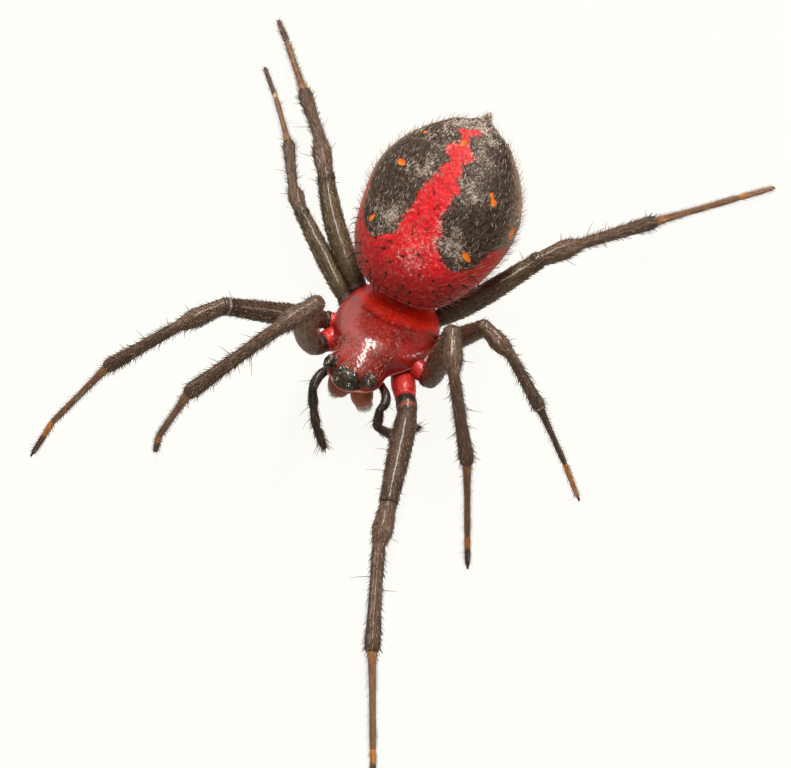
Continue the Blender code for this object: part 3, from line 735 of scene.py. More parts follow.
def head_hairs():
    shape = Shape()
    chance = np.random.default_rng(51)
    x = chance.uniform(-1.0, 1.0, 620)
    y = chance.uniform(-2.25, 0.35, 620)
    keep = (np.abs(x) < 0.92 * np.minimum(carapace_half_width(y), 0.22 + 0.62 * np.clip((0.6 - y) / 1.3, 0, 1) + 0.2))
    keep &= chance.uniform(0, 1, 620) < np.clip(0.25 + 0.75 * (0.3 - y) / 1.6, 0.2, 1)
    x, y = x[keep], y[keep]
    root, normal = on_carapace(x, y)
    n = len(x)
    lie = np.stack([-0.25 * x + chance.normal(0, 0.16, n), -1 + 0 * x, 0 * x], axis=1)
    place = np.stack([0.5 + x / 4.4, 0.5 + y / 5.2], axis=1)
    # Some hairs are pale: partly their own colour, partly a painted highlight for the small glints over the head.
    pale = chance.uniform(0, 1, n)[:, None]
    tint = (1 - pale) * np.array([0.52, 0.26, 0.16]) + pale * np.array([0.80, 0.60, 0.48])
    hairs(shape, root, normal, lie, chance.uniform(0.10, 0.22, n), 0.0080, 0.62, 0.25, tint, place, steps=3)
    # A few longer bristles stand between and behind the eyes.
    for px, py, size in ((0.0, -2.16, 0.30), (0.14, -2.05, 0.26), (-0.14, -2.05, 0.26), (0.52, -2.12, 0.24), (-0.52, -2.12, 0.24), (0.0, -1.75, 0.24), (0.30, -1.55, 0.2), (-0.30, -1.55, 0.2), (0.0, -1.2, 0.22), (0.0, -0.7, 0.2)):
        root, normal = on_carapace(np.array([px]), np.array([py]))
        hairs(shape, root, normal, np.array([[0, -1.0, 0]]), size, 0.009, 1.2, 0.7, (0.14, 0.05, 0.03), np.array([[0.5 + px / 4.4, 0.5 + py / 5.2]]), steps=4)
    # Clypeus fringe, hanging over the jaws.
    px = np.linspace(-0.55, 0.55, 15)
    root = from_prosoma(np.stack([px, -2.44 + 0.12 * (px / 0.55) ** 2, 0.05 + 0 * px], axis=1))
    hairs(shape, root, np.tile([0, -1.0, 0.1], (15, 1)), np.stack([0.3 * px, -0.2 + 0 * px, -1 + 0 * px], axis=1), 0.15, 0.006, 0.6, 0.2, (0.55, 0.34, 0.24), np.stack([0.5 + px / 4.4, 0.02 + 0 * px], axis=1), steps=3)
    shape.piece("head_setae", SETAE_PALE, "carapace_red", uv="spot")


def eyes():
    for kind, (place, radius, look) in EYES.items():
        for sign, flank in ((1, "L"), (-1, "R")):
            centre = np.array([place[0] * sign, place[1], place[2]])
            way = unit(np.array([look[0] * sign, look[1], look[2]]))
            across = unit(np.cross(way, (0, 0, 1.0)))
            up = np.cross(across, way)
            # Collar, groove and lens, as (distance out from the axis, height) shares of the radius.
            dome = np.linspace(1.06, 0.06, 16)
            out = np.concatenate([[1.10, 1.32, 1.34, 1.22, 1.08, 1.00], np.sin(dome * math.pi / 2)])
            high = np.concatenate([[-0.75, -0.35, 0.02, 0.20, 0.18, 0.10], 0.02 + np.cos(dome * math.pi / 2) * 1.0])
            out[5], high[5] = 0.985, 0.02
            angle = np.arange(40) * 2 * math.pi / 40
            ring = across * np.cos(angle)[:, None] + up * np.sin(angle)[:, None]
            rings = centre + ring[None] * (out * radius)[:, None, None] + way * (high * radius)[:, None, None]
            collar = np.concatenate([np.ones(5), [0.6], np.zeros(16)])
            depth = np.concatenate([np.zeros(6), np.linspace(0, 1, 16)])
            shape = Shape()
            closed_grid(shape, rings, centre - way * radius * 0.8, centre + way * radius * 1.02, collar=collar, depth=depth)
            shape.piece(f"lens_{kind}_{flank}", EYE, "eye_black", [f"eye_{kind}_{flank}"])


def jaws():
    coat = Shape()
    chance = np.random.default_rng(77)
    for sign, flank in ((1, "L"), (-1, "R")):
        mould = Shape()
        line = smooth_line([(x * sign, y, z) for x, y, z in CHELICERA], 30)
        s = np.linspace(0, 1, 30)
        radii = curve(s, (0, 0.28), (0.18, 0.36), (0.42, 0.385), (0.68, 0.355), (0.88, 0.275), (1, 0.16))
        tube(mould, line, radii, 28, dorsal=(0, -1, 0), flatten=0.92)
        lump(mould, (0.58 * sign, -2.16, 1.72), (0.10, 0.13, 0.16))  # the boss at its outer base
        points, normal, quads, tris = remeshed(mould, 0.032, 4)
        points = points + normal * (0.006 * waves(points, 0.35, 8, 2))[:, None]
        pale = smooth((1.24 + 0.06 * waves(points, 0.3, 5, 2) + 0.5 * (np.abs(points[:, 0]) - 0.36) - points[:, 2]) / 0.30) * 0.80
        shape = Shape()
        shape.add(points, quads, tris, pale=pale)
        shape.piece(f"chelicera_skin_{flank}", JAW, "jaw_brown_red", [f"chelicera_{flank}"])
        horn = Shape()
        fang = smooth_line([(x * sign, y, z) for x, y, z in FANG], 20)
        s = np.linspace(0, 1, 20)
        tube(horn, fang, curve(s, (0, 0.10), (0.3, 0.075), (0.7, 0.04), (1, 0.004)), 18, tip=s)
        horn.piece(f"fang_horn_{flank}", FANG_HORN, "jaw_brown_red", [f"fang_{flank}"])
        # Hairs down the front face.
        n = 60
        pick = chance.integers(0, len(points), 8 * n)
        pick = pick[(normal[pick][:, 1] < -0.1) & (points[pick][:, 2] < 1.75)][:n]
        n = len(pick)
        lie = np.stack([chance.normal(0, 0.2, n), -0.1 + 0 * pick, -1 + 0.0 * pick], axis=1)
        place = np.stack([0.25 + 0.5 * (sign > 0) + points[pick, 0] * 0.2, 0.1 + 0.35 * points[pick, 2]], axis=1)
        hairs(coat, points[pick], normal[pick], lie, chance.uniform(0.08, 0.15, n), 0.005, 0.6, 0.2, (0.16, 0.06, 0.035), place, steps=3, tip_tint=(0.40, 0.20, 0.13))
        m = 120  # a brush of pale hairs at the tip, over the fang
        pick = chance.integers(0, len(points), 60 * m)
        pick = pick[(points[pick][:, 2] < points[:, 2].min() + 0.42) & (normal[pick][:, 1] < 0.55) & (sign * points[pick][:, 0] > 0.34)][:m]
        m = len(pick)
        lie = np.stack([sign * 0.65 + chance.normal(0, 0.22, m), -0.40 + chance.normal(0, 0.2, m), -1 + 0.0 * pick], axis=1)
        place = np.stack([0.25 + 0.5 * (sign > 0) + points[pick, 0] * 0.2, 0.1 + 0.35 * points[pick, 2]], axis=1)
        hairs(coat, points[pick], normal[pick], lie, chance.uniform(0.18, 0.34, m), 0.0115, 0.60, 0.15, (0.88, 0.80, 0.72), place, steps=3, tip_tint=(0.92, 0.88, 0.82))
    coat.piece("chelicera_setae", SETAE_PALE, "jaw_brown_red", uv="spot")


def underside():
    """Sternum, mouthparts, the soft side wall between legs and shell, and the waist."""
    mould = Shape()
    y = np.linspace(-1.27, 1.27, 60)
    share = (y + 1.27) / 2.54
    width = 0.76 * curve(share, (0, 0.30), (0.08, 0.72), (0.3, 1.0), (0.6, 0.86), (0.85, 0.45), (1, 0.05)) * (1 + 0.05 * np.cos(share * 2 * math.pi * 3.6))
    angle = np.arange(64) * 2 * math.pi / 64
    x = width[:, None] * np.cos(angle)
    z = 1.40 - 0.24 * (width / 0.76)[:, None] ** 0.4 * np.maximum(np.sin(angle), 0) ** 0.8 + 0.12 * np.maximum(-np.sin(angle), 0)
    rings = np.stack([x, np.broadcast_to(y[:, None], x.shape), z], axis=2)
    shape = Shape()
    closed_grid(shape, rings, (0, -1.285, 1.38), (0, 1.285, 1.38))
    points = shape.points[0]
    points[:, 2] -= 0.012 * waves(points, 0.5, 21, 2) * smooth((1.42 - points[:, 2]) / 0.1)
    shape.piece("sternum_skin", COXA_RED, "sternum_red", ["sternum"])

    lump(mould, (0, -1.34, 1.34), (0.24, 0.20, 0.16))
    for sign in (1, -1):
        line = smooth_line([(0.22 * sign, -1.22, 1.38), (0.31 * sign, -1.52, 1.30), (0.30 * sign, -1.84, 1.20)], 16)
        tube(mould, line, curve(np.linspace(0, 1, 16), (0, 0.12), (0.3, 0.19), (0.7, 0.21), (0.92, 0.15), (1, 0.08)), 20)
    points, normal, quads, tris = remeshed(mould, 0.035, 3)
    points = points + normal * (0.006 * waves(points, 0.3, 22, 2))[:, None]
    shape = Shape()
    shape.add(points, quads, tris)
    shape.piece("mouthpart_skin", COXA_RED, "sternum_red", ["mouthparts"])

    wall = Shape()
    y = np.linspace(-1.75, 1.62, 50)
    share = (y + 1.75) / 3.37
    width = 1.30 * curve(share, (0, 0.35), (0.15, 0.62), (0.5, 0.95), (0.8, 0.80), (1, 0.30))
    angle = np.arange(72) * 2 * math.pi / 72
    x = width[:, None] * np.cos(angle)
    z = 1.72 - 0.10 * (y[:, None] - 0.1) + 0.24 * (width / 1.3)[:, None] * np.sin(angle) * (1 + 0.06 * np.cos(6 * angle))
    rings = np.stack([x, np.broadcast_to(y[:, None], x.shape), z], axis=2)
    closed_grid(wall, rings[:, ::-1], (0, -1.77, 1.9), (0, 1.64, 1.57))
    wall.piece("prosoma_wall", COXA_RED, "sternum_red")

    waist = Shape()
    line = smooth_line([(0, 1.62, 1.66), (0, 1.95, 1.70), (0, 2.25, 1.80), (0, 2.62, 1.98)], 60)
    s = np.linspace(0, 1, 60)
    tube(waist, line, (0.23 + 0.03 * np.cos(2 * math.pi * s)) * (1 + 0.035 * np.cos(2 * math.pi * 9 * s)), 40)
    waist.piece("pedicel_skin", COXA_RED, "sternum_red", ["pedicel"])


# ------------------------------------------------------------------ abdomen
ALONG = unit(ABDOMEN_TAIL - ABDOMEN_FRONT)
ACROSS = unit(np.array([1.0, 0, 0]) - ALONG * ALONG[0])
UP = np.cross(ACROSS, ALONG)
LENGTH = np.linalg.norm(ABDOMEN_TAIL - ABDOMEN_FRONT)


def bulge(t, peak, front, rear, front_root=0.5):
    before = np.maximum(0, 1 - (np.maximum(0, peak - t) / peak) ** front) ** front_root
    past = np.clip((t - peak) / (1 - peak), 0, 1)
    return np.where(t < peak, before, 1 - past**rear - 0.10 * smooth((past - 0.78) / 0.12))


def abdomen_half_width(t):
    return ABDOMEN_HALF_WIDTH * bulge(t, 0.486, 1.453, 2.221, 0.30)


def abdomen_point(t, angle, depth=COAT_DEPTH):
    """A point of the abdomen's skin. t runs from waist to tail, angle from the left side up."""
    t, angle = np.asarray(t, float), np.asarray(angle, float)
    tail = TAIL_TUBERCLE * np.minimum(1, (1 - t) / TAIL_LENGTH) ** 0.80

    def soft(size):
        return (np.maximum(size - depth, 0) ** 4 + tail**4) ** 0.25

    width = soft(abdomen_half_width(t))
    rise = soft(ABDOMEN_RISE * bulge(t, 0.30, 2.395, 2.6))
    sag = soft(ABDOMEN_SAG * bulge(t, 0.43, 1.45, 1.75, 0.9))
    s = np.sin(angle)
    lift = np.where(s > 0, rise, sag) * s
    return ABDOMEN_FRONT + ALONG * (t * LENGTH)[..., None] + ACROSS * (width * np.cos(angle))[..., None] + UP * lift[..., None]


def abdomen_normal(t, angle):
    e = 0.004
    dt = abdomen_point(np.minimum(t + e, 0.999), angle) - abdomen_point(np.maximum(t - e, 0.001), angle)
    da = abdomen_point(t, angle + 0.01) - abdomen_point(t, angle - 0.01)
    return unit(np.cross(dt, da)), unit(dt)


STRIPE_LEFT = (  # share from waist to tail, reach of the red from the midline
    (0.0, 3.0), (0.20, 2.6), (0.230, 1.93), (0.234, 1.51), (0.248, 1.18), (0.280, 0.98), (0.311, 0.75), (0.351, 0.78),
    (0.391, 0.75), (0.406, 0.59), (0.429, 0.45), (0.455, 0.45), (0.481, 0.57), (0.511, 0.61), (0.530, 0.51), (0.550, 0.53),
    (0.576, 0.58), (0.593, 0.64), (0.607, 0.43), (0.619, 0.37), (0.640, 0.35), (0.667, 0.41), (0.695, 0.25), (0.713, 0.29),
    (0.740, 0.45), (0.762, 0.42), (0.778, 0.35), (0.790, 0.11), (0.831, -0.05), (0.844, -0.04), (0.858, 0.10), (0.874, 0.22),
    (0.885, 0.18), (0.892, -0.13), (0.93, -0.4), (1.0, -0.4),
)
STRIPE_RIGHT = (
    (0.0, 3.0), (0.185, 2.6), (0.197, 1.61), (0.203, 1.37), (0.225, 1.09), (0.245, 0.94), (0.265, 0.65), (0.280, 0.54),
    (0.295, 0.60), (0.313, 0.67), (0.336, 0.62), (0.362, 0.59), (0.391, 0.56), (0.425, 0.52), (0.446, 0.51), (0.465, 0.50),
    (0.480, 0.55), (0.494, 0.59), (0.516, 0.50), (0.539, 0.46), (0.566, 0.42), (0.592, 0.41), (0.607, 0.31), (0.627, 0.26),
    (0.648, 0.31), (0.664, 0.31), (0.678, 0.23), (0.695, 0.19), (0.713, 0.32), (0.728, 0.47), (0.755, 0.54), (0.773, 0.43),
    (0.793, 0.33), (0.815, 0.26), (0.834, 0.36), (0.848, 0.52), (0.858, 0.44), (0.866, 0.24), (0.880, 0.04), (0.93, -0.3),
    (1.0, -0.3),
)
# Where the black gives way to the red flanks: share, bearing up from the side.
FLANK_LEFT = (
    (0.0, 95), (0.20, 62), (0.235, 44), (0.275, 34), (0.318, 27), (0.355, 25), (0.395, 24), (0.425, 14), (0.450, 2),
    (0.480, -10), (0.54, -18), (0.65, -25), (0.80, -38), (1.0, -62),
)
FLANK_RIGHT = (
    (0.0, 95), (0.19, 62), (0.225, 44), (0.269, 33), (0.32, 27), (0.378, 24), (0.444, 19), (0.485, 14), (0.53, 3),
    (0.58, -4), (0.65, -10), (0.80, -28), (1.0, -60),
)
SIGILLA = (  # bearing from the left side, share, half width across, half length along, slant
    (43.0, 0.326, 0.165, 0.118, -0.80), (134.2, 0.290, 0.085, 0.140, 0.25),
    (45.8, 0.611, 0.088, 0.110, 0.00), (48.3, 0.627, 0.055, 0.110, -0.5), (50.7, 0.644, 0.066, 0.085, 0.0), (130.5, 0.586, 0.165, 0.105, -0.1),
    (5.5, 0.530, 0.150, 0.205, 0.0), (171.8, 0.545, 0.080, 0.150, 0.0),
    (142.6, 0.768, 0.060, 0.060, 0.0), (94.5, 0.801, 0.098, 0.125, 0.1),
)
BRISTLES = (  # share from waist to tail, bearing in degrees from the left side up, length
    (0.264, 152, 0.42), (0.211, 122, 0.40), (0.226, 106, 0.36), (0.158, 144, 0.46), (0.184, 110, 0.40), (0.117, 142, 0.46),
    (0.107, 158, 0.42), (0.096, 130, 0.44), (0.139, 100, 0.38), (0.035, 132, 0.46), (0.018, 117, 0.46), (0.086, 102, 0.42),
    (0.146, 69, 0.36), (0.155, 54, 0.36), (0.174, 37, 0.38), (0.112, 45, 0.38), (0.055, 66, 0.40), (0.067, 78, 0.40),
    (0.014, 80, 0.46), (0.012, 140, 0.46), (0.024, 100, 0.48), (0.040, 118, 0.46), (0.016, 50, 0.42), (0.034, 35, 0.40),
    (0.050, 160, 0.42), (0.195, 160, 0.44), (0.235, 165, 0.42), (0.300, 163, 0.38), (0.205, 22, 0.38), (0.260, 26, 0.38),
    (0.120, 18, 0.38), (0.300, 92, 0.30), (0.350, 84, 0.30), (0.400, 95, 0.28), (0.455, 86, 0.28), (0.520, 92, 0.26),
    (0.230, 80, 0.34), (0.190, 90, 0.36), (0.055, 128, 0.42), (0.078, 150, 0.44),
)


def markings(t, angle, points):
    """Signed distances and shares that the skin and the coat both read."""
    x = (points - ABDOMEN_FRONT) @ ACROSS
    upper = np.sin(angle)
    # Middle stripe: broad in front, lobed, pinched behind, with a crossbar at its end.
    left = np.interp(t, *zip(*STRIPE_LEFT))
    right = np.interp(t, *zip(*STRIPE_RIGHT))
    stripe = np.minimum(left - x, x + right)
    stripe = np.where(upper > 0, stripe, -1.0)
    # Red flanks: the black patches end at a line that falls towards the tail.
    limit = np.where(np.cos(angle) > 0, curve(t, *FLANK_LEFT), curve(t, *FLANK_RIGHT))
    bearing = np.degrees(np.arctan2(upper, np.abs(np.cos(angle))))
    flank = (limit - bearing) * math.pi / 180 * 2.3
    under = smooth((-bearing - 22) / 25) * smooth((t - 0.28) / 0.15)
    red = np.maximum(stripe, flank)
    # A dark field covers the belly behind its furrow.
    belly = (0.86 + 0.13 * waves(points.reshape(-1, 3), 0.55, 36, 3).reshape(x.shape) + 1.3 * smooth((t - 0.66) / 0.30) * smooth((bearing + 75) / 60) - np.abs(x)) * smooth((t - 0.22) / 0.1)
    red = np.where(bearing < -15, np.minimum(red, -belly * smooth((-bearing - 15) / 15) + (1 - smooth((-bearing - 15) / 15))), red)
    spot = np.full(x.shape, -1.0)
    for place, at, across, along, slant in SIGILLA:
        centre = abdomen_point(np.array(at), np.array(math.radians(place)))
        away = points - centre
        down = away @ ALONG
        side = np.sqrt(np.maximum((away**2).sum(axis=-1) - down**2, 0)) * np.sign(away @ ACROSS + 1e-9)
        side = side - slant * down
        gap = (1 - np.sqrt((side / across) ** 2 + (down / along) ** 2)) * across
        spot = np.maximum(spot, np.where(upper > -0.2, gap, -1.0))
    # Ashen clouds lie in bands beside the stripe and over the tail.
    ash = 0.38 + 0.30 * np.exp(-(((stripe + 0.45) / 0.40) ** 2))
    ash += 0.22 * np.exp(-(((t - 0.34) / 0.07) ** 2)) + 0.20 * np.exp(-(((t - 0.60) / 0.05) ** 2)) + 0.21 * smooth((t - 0.80) / 0.1)
    ash -= 0.25 * np.exp(-(((t - 0.48) / 0.06) ** 2)) + 0.22 * smooth((np.abs(x) - 1.5) / 0.8)
    # Pink flecks gather where stripe and front meet; the sides are deep wine red.
    blush = 0.34 + 0.42 * np.exp(-(((t - 0.22) / 0.13) ** 2) - ((x - 0.25) / 0.8) ** 2) + 0.22 * np.exp(-(((t - 0.40) / 0.08) ** 2) - ((x - 0.55) / 0.25) ** 2)
    blush += 0.18 * np.exp(-(((t - 0.76) / 0.05) ** 2)) - 0.35 * smooth((np.abs(x) - 1.3) / 0.7)
    wine = smooth((0.26 - t) / 0.20) * 0.75 + 0.75 * smooth((np.abs(x) - 1.0) / 1.0) * smooth((0.60 - t) / 0.2)
    wine = np.clip(wine + 0.6 * smooth((-bearing + 5) / 30), 0, 1)
    flank_sheen = 0.8 * smooth((30 - bearing) / 22) * smooth((bearing + 12) / 10)  # painted sheen: the black is painted paler where it turns down, standing in for light caught by the hairs at the outline
    # A dark spot round the root of each stout bristle.
    pore = np.zeros(x.shape)
    for at, bearing, _ in BRISTLES:
        centre = abdomen_point(np.array(at), np.array(math.radians(bearing)))
        pore = np.maximum(pore, np.exp(-(((points - centre) ** 2).sum(axis=-1)) / 0.055**2))
    return {"red": red, "sigillum": spot, "ash": ash, "blush": blush, "wine": wine, "pore": pore, "flank": flank_sheen}


def abdomen():
    t = 0.5 - 0.5 * np.cos(np.linspace(0.035, math.pi, 231)[:-1])
    t = np.concatenate([t[t < 0.90], np.linspace(0.902, 0.999, 44)])
    angle = np.arange(288) * 2 * math.pi / 288
    tt, aa = np.meshgrid(t, angle, indexing="ij")
    rings = abdomen_point(tt, aa)
    normal, _ = abdomen_normal(tt, aa)
    marks = markings(tt, aa, rings)
    flat = rings.reshape(-1, 3)
    fine = 0.010 * waves(flat, 0.7, 31, 3) + 0.006 * waves(flat, 0.25, 32, 2)
    big = 0.025 * waves(flat, 2.2, 33, 2)
    push = (fine + big).reshape(tt.shape) * smooth((1 - tt) / 0.05)
    # Sigilla are small sunk scars, the belly has the furrow of the book lungs.
    push -= 0.028 * smooth((marks["sigillum"] + 0.03) / 0.07)
    bearing = np.degrees(np.arcsin(np.clip(np.sin(aa), -1, 1)))
    push -= 0.07 * np.exp(-(((tt - 0.235) / 0.012) ** 2)) * smooth((-bearing - 25) / 20)
    # Fine pleats behind the waist.
    push += 0.008 * np.cos(rings[..., 2] * 26) * smooth((0.14 - tt) / 0.1)
    rings = rings + normal * push[..., None]
    shape = Shape()
    closed_grid(shape, rings[:, ::-1], abdomen_point(np.array(0.0), np.array(0.0)) - 0.0, ABDOMEN_TAIL, **{k: v[:, ::-1] for k, v in marks.items()})
    shape.piece("abdomen_skin", ABDOMEN, "abdomen_black_and_red", ["abdomen"])


def scattered_abdomen(spacing, seed, t_low=0.02, t_high=0.975):
    """Roots in even, jittered rows over the whole abdomen."""
    chance = np.random.default_rng(seed)
    line = abdomen_point(np.linspace(0, 1, 200), np.full(200, math.pi / 2))
    run = np.concatenate([[0], np.cumsum(np.linalg.norm(np.diff(line, axis=0), axis=1))])
    rows = np.interp(np.arange(0, run[-1], spacing), run, np.linspace(0, 1, 200))
    ts, angles = [], []
    for t in rows:
        if not t_low < t < t_high:
            continue
        a = np.linspace(0, 2 * math.pi, 241)
        ring = abdomen_point(np.full(241, t), a)
        around = np.concatenate([[0], np.cumsum(np.linalg.norm(np.diff(ring, axis=0), axis=1))])
        count = max(4, int(around[-1] / spacing))
        spots = (np.arange(count) + chance.uniform(0, 1) + chance.uniform(-0.45, 0.45, count)) / count % 1
        angles.append(np.interp(spots * around[-1], around, a))
        ts.append(np.clip(t + chance.uniform(-0.45, 0.45, count) * spacing / LENGTH, t_low, t_high))
    return np.concatenate(ts), np.concatenate(angles), chance


def abdomen_coat():
    # Short setae that lie back over the skin. Their pale tint is partly their own colour and partly a painted
    # highlight, standing in for the glints on the hairs.
    t, angle, chance = scattered_abdomen(0.138, 61)
    root = abdomen_point(t, angle)
    normal, back = abdomen_normal(t, angle)
    marks = markings(t, angle, root)
    n = len(t)
    is_red = smooth((marks["red"] + 0.03) / 0.06)
    side = np.cross(normal, back)
    pale = chance.uniform(0, 1, n)
    cloud = np.clip(marks["ash"] + 0.45 * waves(root, 0.9, 64, 3), 0, 1)
    lie = back + side * (chance.normal(0, 0.28, n) * (1 + 1.6 * smooth((cloud - 0.5) / 0.3)))[:, None]
    keep = (marks["sigillum"] < -0.02) & (chance.uniform(0, 1, n) < np.where(is_red > 0.5, 0.30, 0.24 + 0.76 * smooth((cloud - 0.25) / 0.55)))
    keep &= ~((t < 0.12) & (chance.uniform(0, 1, n) < 0.7))
    grey = np.array([0.22, 0.16, 0.11]) + (pale[:, None] ** 0.8) * np.array([0.72, 0.68, 0.60])
    rosy = np.array([0.55, 0.06, 0.05]) + pale[:, None] ** 3 * np.array([0.40, 0.56, 0.46])
    tint = grey * (1 - is_red)[:, None] + rosy * is_red[:, None]
    place = np.stack([(angle / (2 * math.pi)) % 1, t], axis=1)
    length = chance.uniform(0.11, 0.22, n) * (1 - 0.30 * is_red)
    shape = Shape()
    k = keep
    hairs(shape, root[k], normal[k], lie[k], length[k], (chance.uniform(0.0110, 0.0160, n) * (1 - 0.25 * is_red))[k], 0.45, 0.0, tint[k], place[k], steps=3, bend=chance.normal(0, 0.25, n)[k])
    shape.piece("abdomen_setae_short", SETAE_PALE, "abdomen_black_and_red", uv="spot")

    # Longer, finer hairs that stand clear and fringe the outline.
    t, angle, chance = scattered_abdomen(0.18, 62, 0.05, 0.97)
    root = abdomen_point(t, angle)
    normal, back = abdomen_normal(t, angle)
    n = len(t)
    side = np.cross(normal, back)
    lie = back + side * chance.normal(0, 0.25, n)[:, None]
    place = np.stack([(angle / (2 * math.pi)) % 1, t], axis=1)
    tone = chance.uniform(0, 1, n)[:, None]
    tint = np.array([0.26, 0.16, 0.10]) * (1 - tone) + np.array([0.62, 0.46, 0.35]) * tone
    shape = Shape()
    hairs(shape, root, normal, lie, chance.uniform(0.20, 0.42, n), 0.0068, chance.uniform(0.65, 1.2, n), chance.uniform(0.25, 0.7, n), tint, place, steps=4, tip_tint=(0.55, 0.30, 0.22))
    # Stout black bristles on the red front, bent back and over.
    for at, bearing, size in BRISTLES:
        at, a = np.array([at]), np.array([math.radians(bearing)])
        root = abdomen_point(at, a)
        normal, back = abdomen_normal(at, a)
        flank = np.cross(back, normal) * (1 if bearing < 90 else -1)
        if at[0] < 0.09:  # these stand over the carapace
            lie, lift0, lift1 = -back * 0.8 + flank * chance.uniform(-0.2, 0.6), chance.uniform(0.8, 1.2), chance.uniform(0.3, 0.6)
        elif at[0] > 0.29 and 75 < bearing < 105:  # and these lie along the stripe
            lie, lift0, lift1 = back + flank * chance.normal(0, 0.12), 0.40, 0.02
        else:
            lie, lift0, lift1 = back * 0.30 + flank * chance.uniform(0.7, 1.1), 0.85, -0.05
        hairs(shape, root, normal, lie, size * 1.30, 0.0165 if at[0] > 0.29 else 0.0225, lift0, lift1, (0.012, 0.006, 0.004), np.stack([a / (2 * math.pi), at], axis=1), sides=4, steps=8, sink=0.02, bend=(1 if bearing < 90 else -1) * chance.uniform(0.7, 1.8), tip_tint=(0.03, 0.012, 0.008))
    shape.piece("abdomen_setae_long", SETAE, "abdomen_black_and_red", uv="spot")


def spinnerets():
    mould = Shape()
    base = np.array([0, 5.36, 2.62])
    lump(mould, base, (0.42, 0.38, 0.36))
    cones = []
    for x, y, size, out in ((0.18, -0.10, 1.0, 0.22), (-0.18, -0.10, 1.0, 0.22), (0.20, 0.20, 0.95, 0.30), (-0.20, 0.20, 0.95, 0.30), (0.08, 0.06, 0.6, 0.1), (-0.08, 0.06, 0.6, 0.1)):
        start = base + np.array([x * 0.8, y, -0.16])
        end = base + np.array([x * 1.25, y + out * 0.8, -0.16 - 0.40 * size])
        line = smooth_line([start, (start + end) / 2 + np.array([x * 0.1, 0, 0]), end], 16)
        s = np.linspace(0, 1, 16)
        tube(mould, line, curve(s, (0, 0.135), (0.5, 0.125), (0.85, 0.09), (1, 0.04)) * size, 20)
        cones.append((end, unit(end - start)))
    lump(mould, base + np.array([0, 0.38, 0.02]), (0.13, 0.12, 0.11))
    points, normal, quads, tris = remeshed(mould, 0.030, 3)
    points = points + normal * (0.006 * waves(points, 0.25, 41, 2))[:, None]
    shape = Shape()
    shape.add(points, quads, tris, tint=np.array([0.045, 0.022, 0.014]), leg=points * 0.6, dry=0.4)
    shape.piece("spinneret_skin", LEG, "foot_brown", ["spinnerets"])
    coat = Shape()
    chance = np.random.default_rng(43)
    for end, way in cones:
        n = 26
        turn = chance.uniform(0, 2 * math.pi, n)
        across = unit(np.cross(way, (1.0, 0.2, 0)))
        other = np.cross(way, across)
        out = across * np.cos(turn)[:, None] + other * np.sin(turn)[:, None]
        back = chance.uniform(0, 0.25, n)[:, None]
        hairs(coat, end + out * 0.06 - way * back, out, np.tile(way, (n, 1)), chance.uniform(0.07, 0.13, n), 0.006, 0.5, 0.2, (0.12, 0.06, 0.04), np.stack([0.3 + 0.4 * turn / 6.3, 0.3 + back[:, 0]], axis=1), steps=2)
    coat.piece("spinneret_setae", SETAE, "foot_brown", uv="spot")


# --------------------------------------------------------------------- legs
SEGMENTS = ("coxa", "trochanter", "femur", "patella", "tibia", "metatarsus", "tarsus")
PROFILES = {  # radius along each segment
    "coxa": ((0, 0.36), (0.3, 0.40), (0.6, 0.39), (0.86, 0.365), (1, 0.35)),
    "trochanter": ((0, 0.27), (0.2, 0.315), (0.55, 0.345), (0.85, 0.335), (1, 0.305)),
    "femur": ((0, 0.30), (0.06, 0.335), (0.28, 0.388), (0.5, 0.375), (0.75, 0.34), (0.93, 0.312), (0.98, 0.318), (1, 0.30)),
    "patella": ((0, 0.265), (0.15, 0.27), (0.4, 0.31), (0.58, 0.33), (0.78, 0.28), (0.92, 0.225), (1, 0.20)),
    "tibia": ((0, 0.185), (0.08, 0.195), (0.3, 0.20), (0.6, 0.212), (0.85, 0.24), (0.95, 0.248), (1, 0.225)),
    "metatarsus": ((0, 0.150), (0.05, 0.155), (0.12, 0.138), (0.3, 0.118), (0.6, 0.104), (0.95, 0.102), (1, 0.092)),
    "tarsus": ((0, 0.090), (0.06, 0.100), (0.4, 0.098), (0.8, 0.092), (1, 0.080)),
}
DULL = {"coxa": 0.20, "trochanter": 0.20, "femur": 0.26, "patella": 0.34, "tibia": 0.38, "metatarsus": 0.42, "tarsus": 0.42}
RED = np.array([0.62, 0.020, 0.015])
PITCHY = np.array([0.020, 0.012, 0.009])
UMBER = np.array([0.108, 0.053, 0.025])
OLIVE = np.array([0.088, 0.055, 0.020])
RUST = np.array([0.30, 0.060, 0.018])
AMBER = np.array([0.70, 0.25, 0.040])
REAR_OLIVE = ("R3", "R4", "L4")
AMBER_REACH = {"R1": 0.25, "R2": 0.42, "L1": 0.36, "L2": 0.38, "L3": 1.2}
CLAW_REACH = 0.10
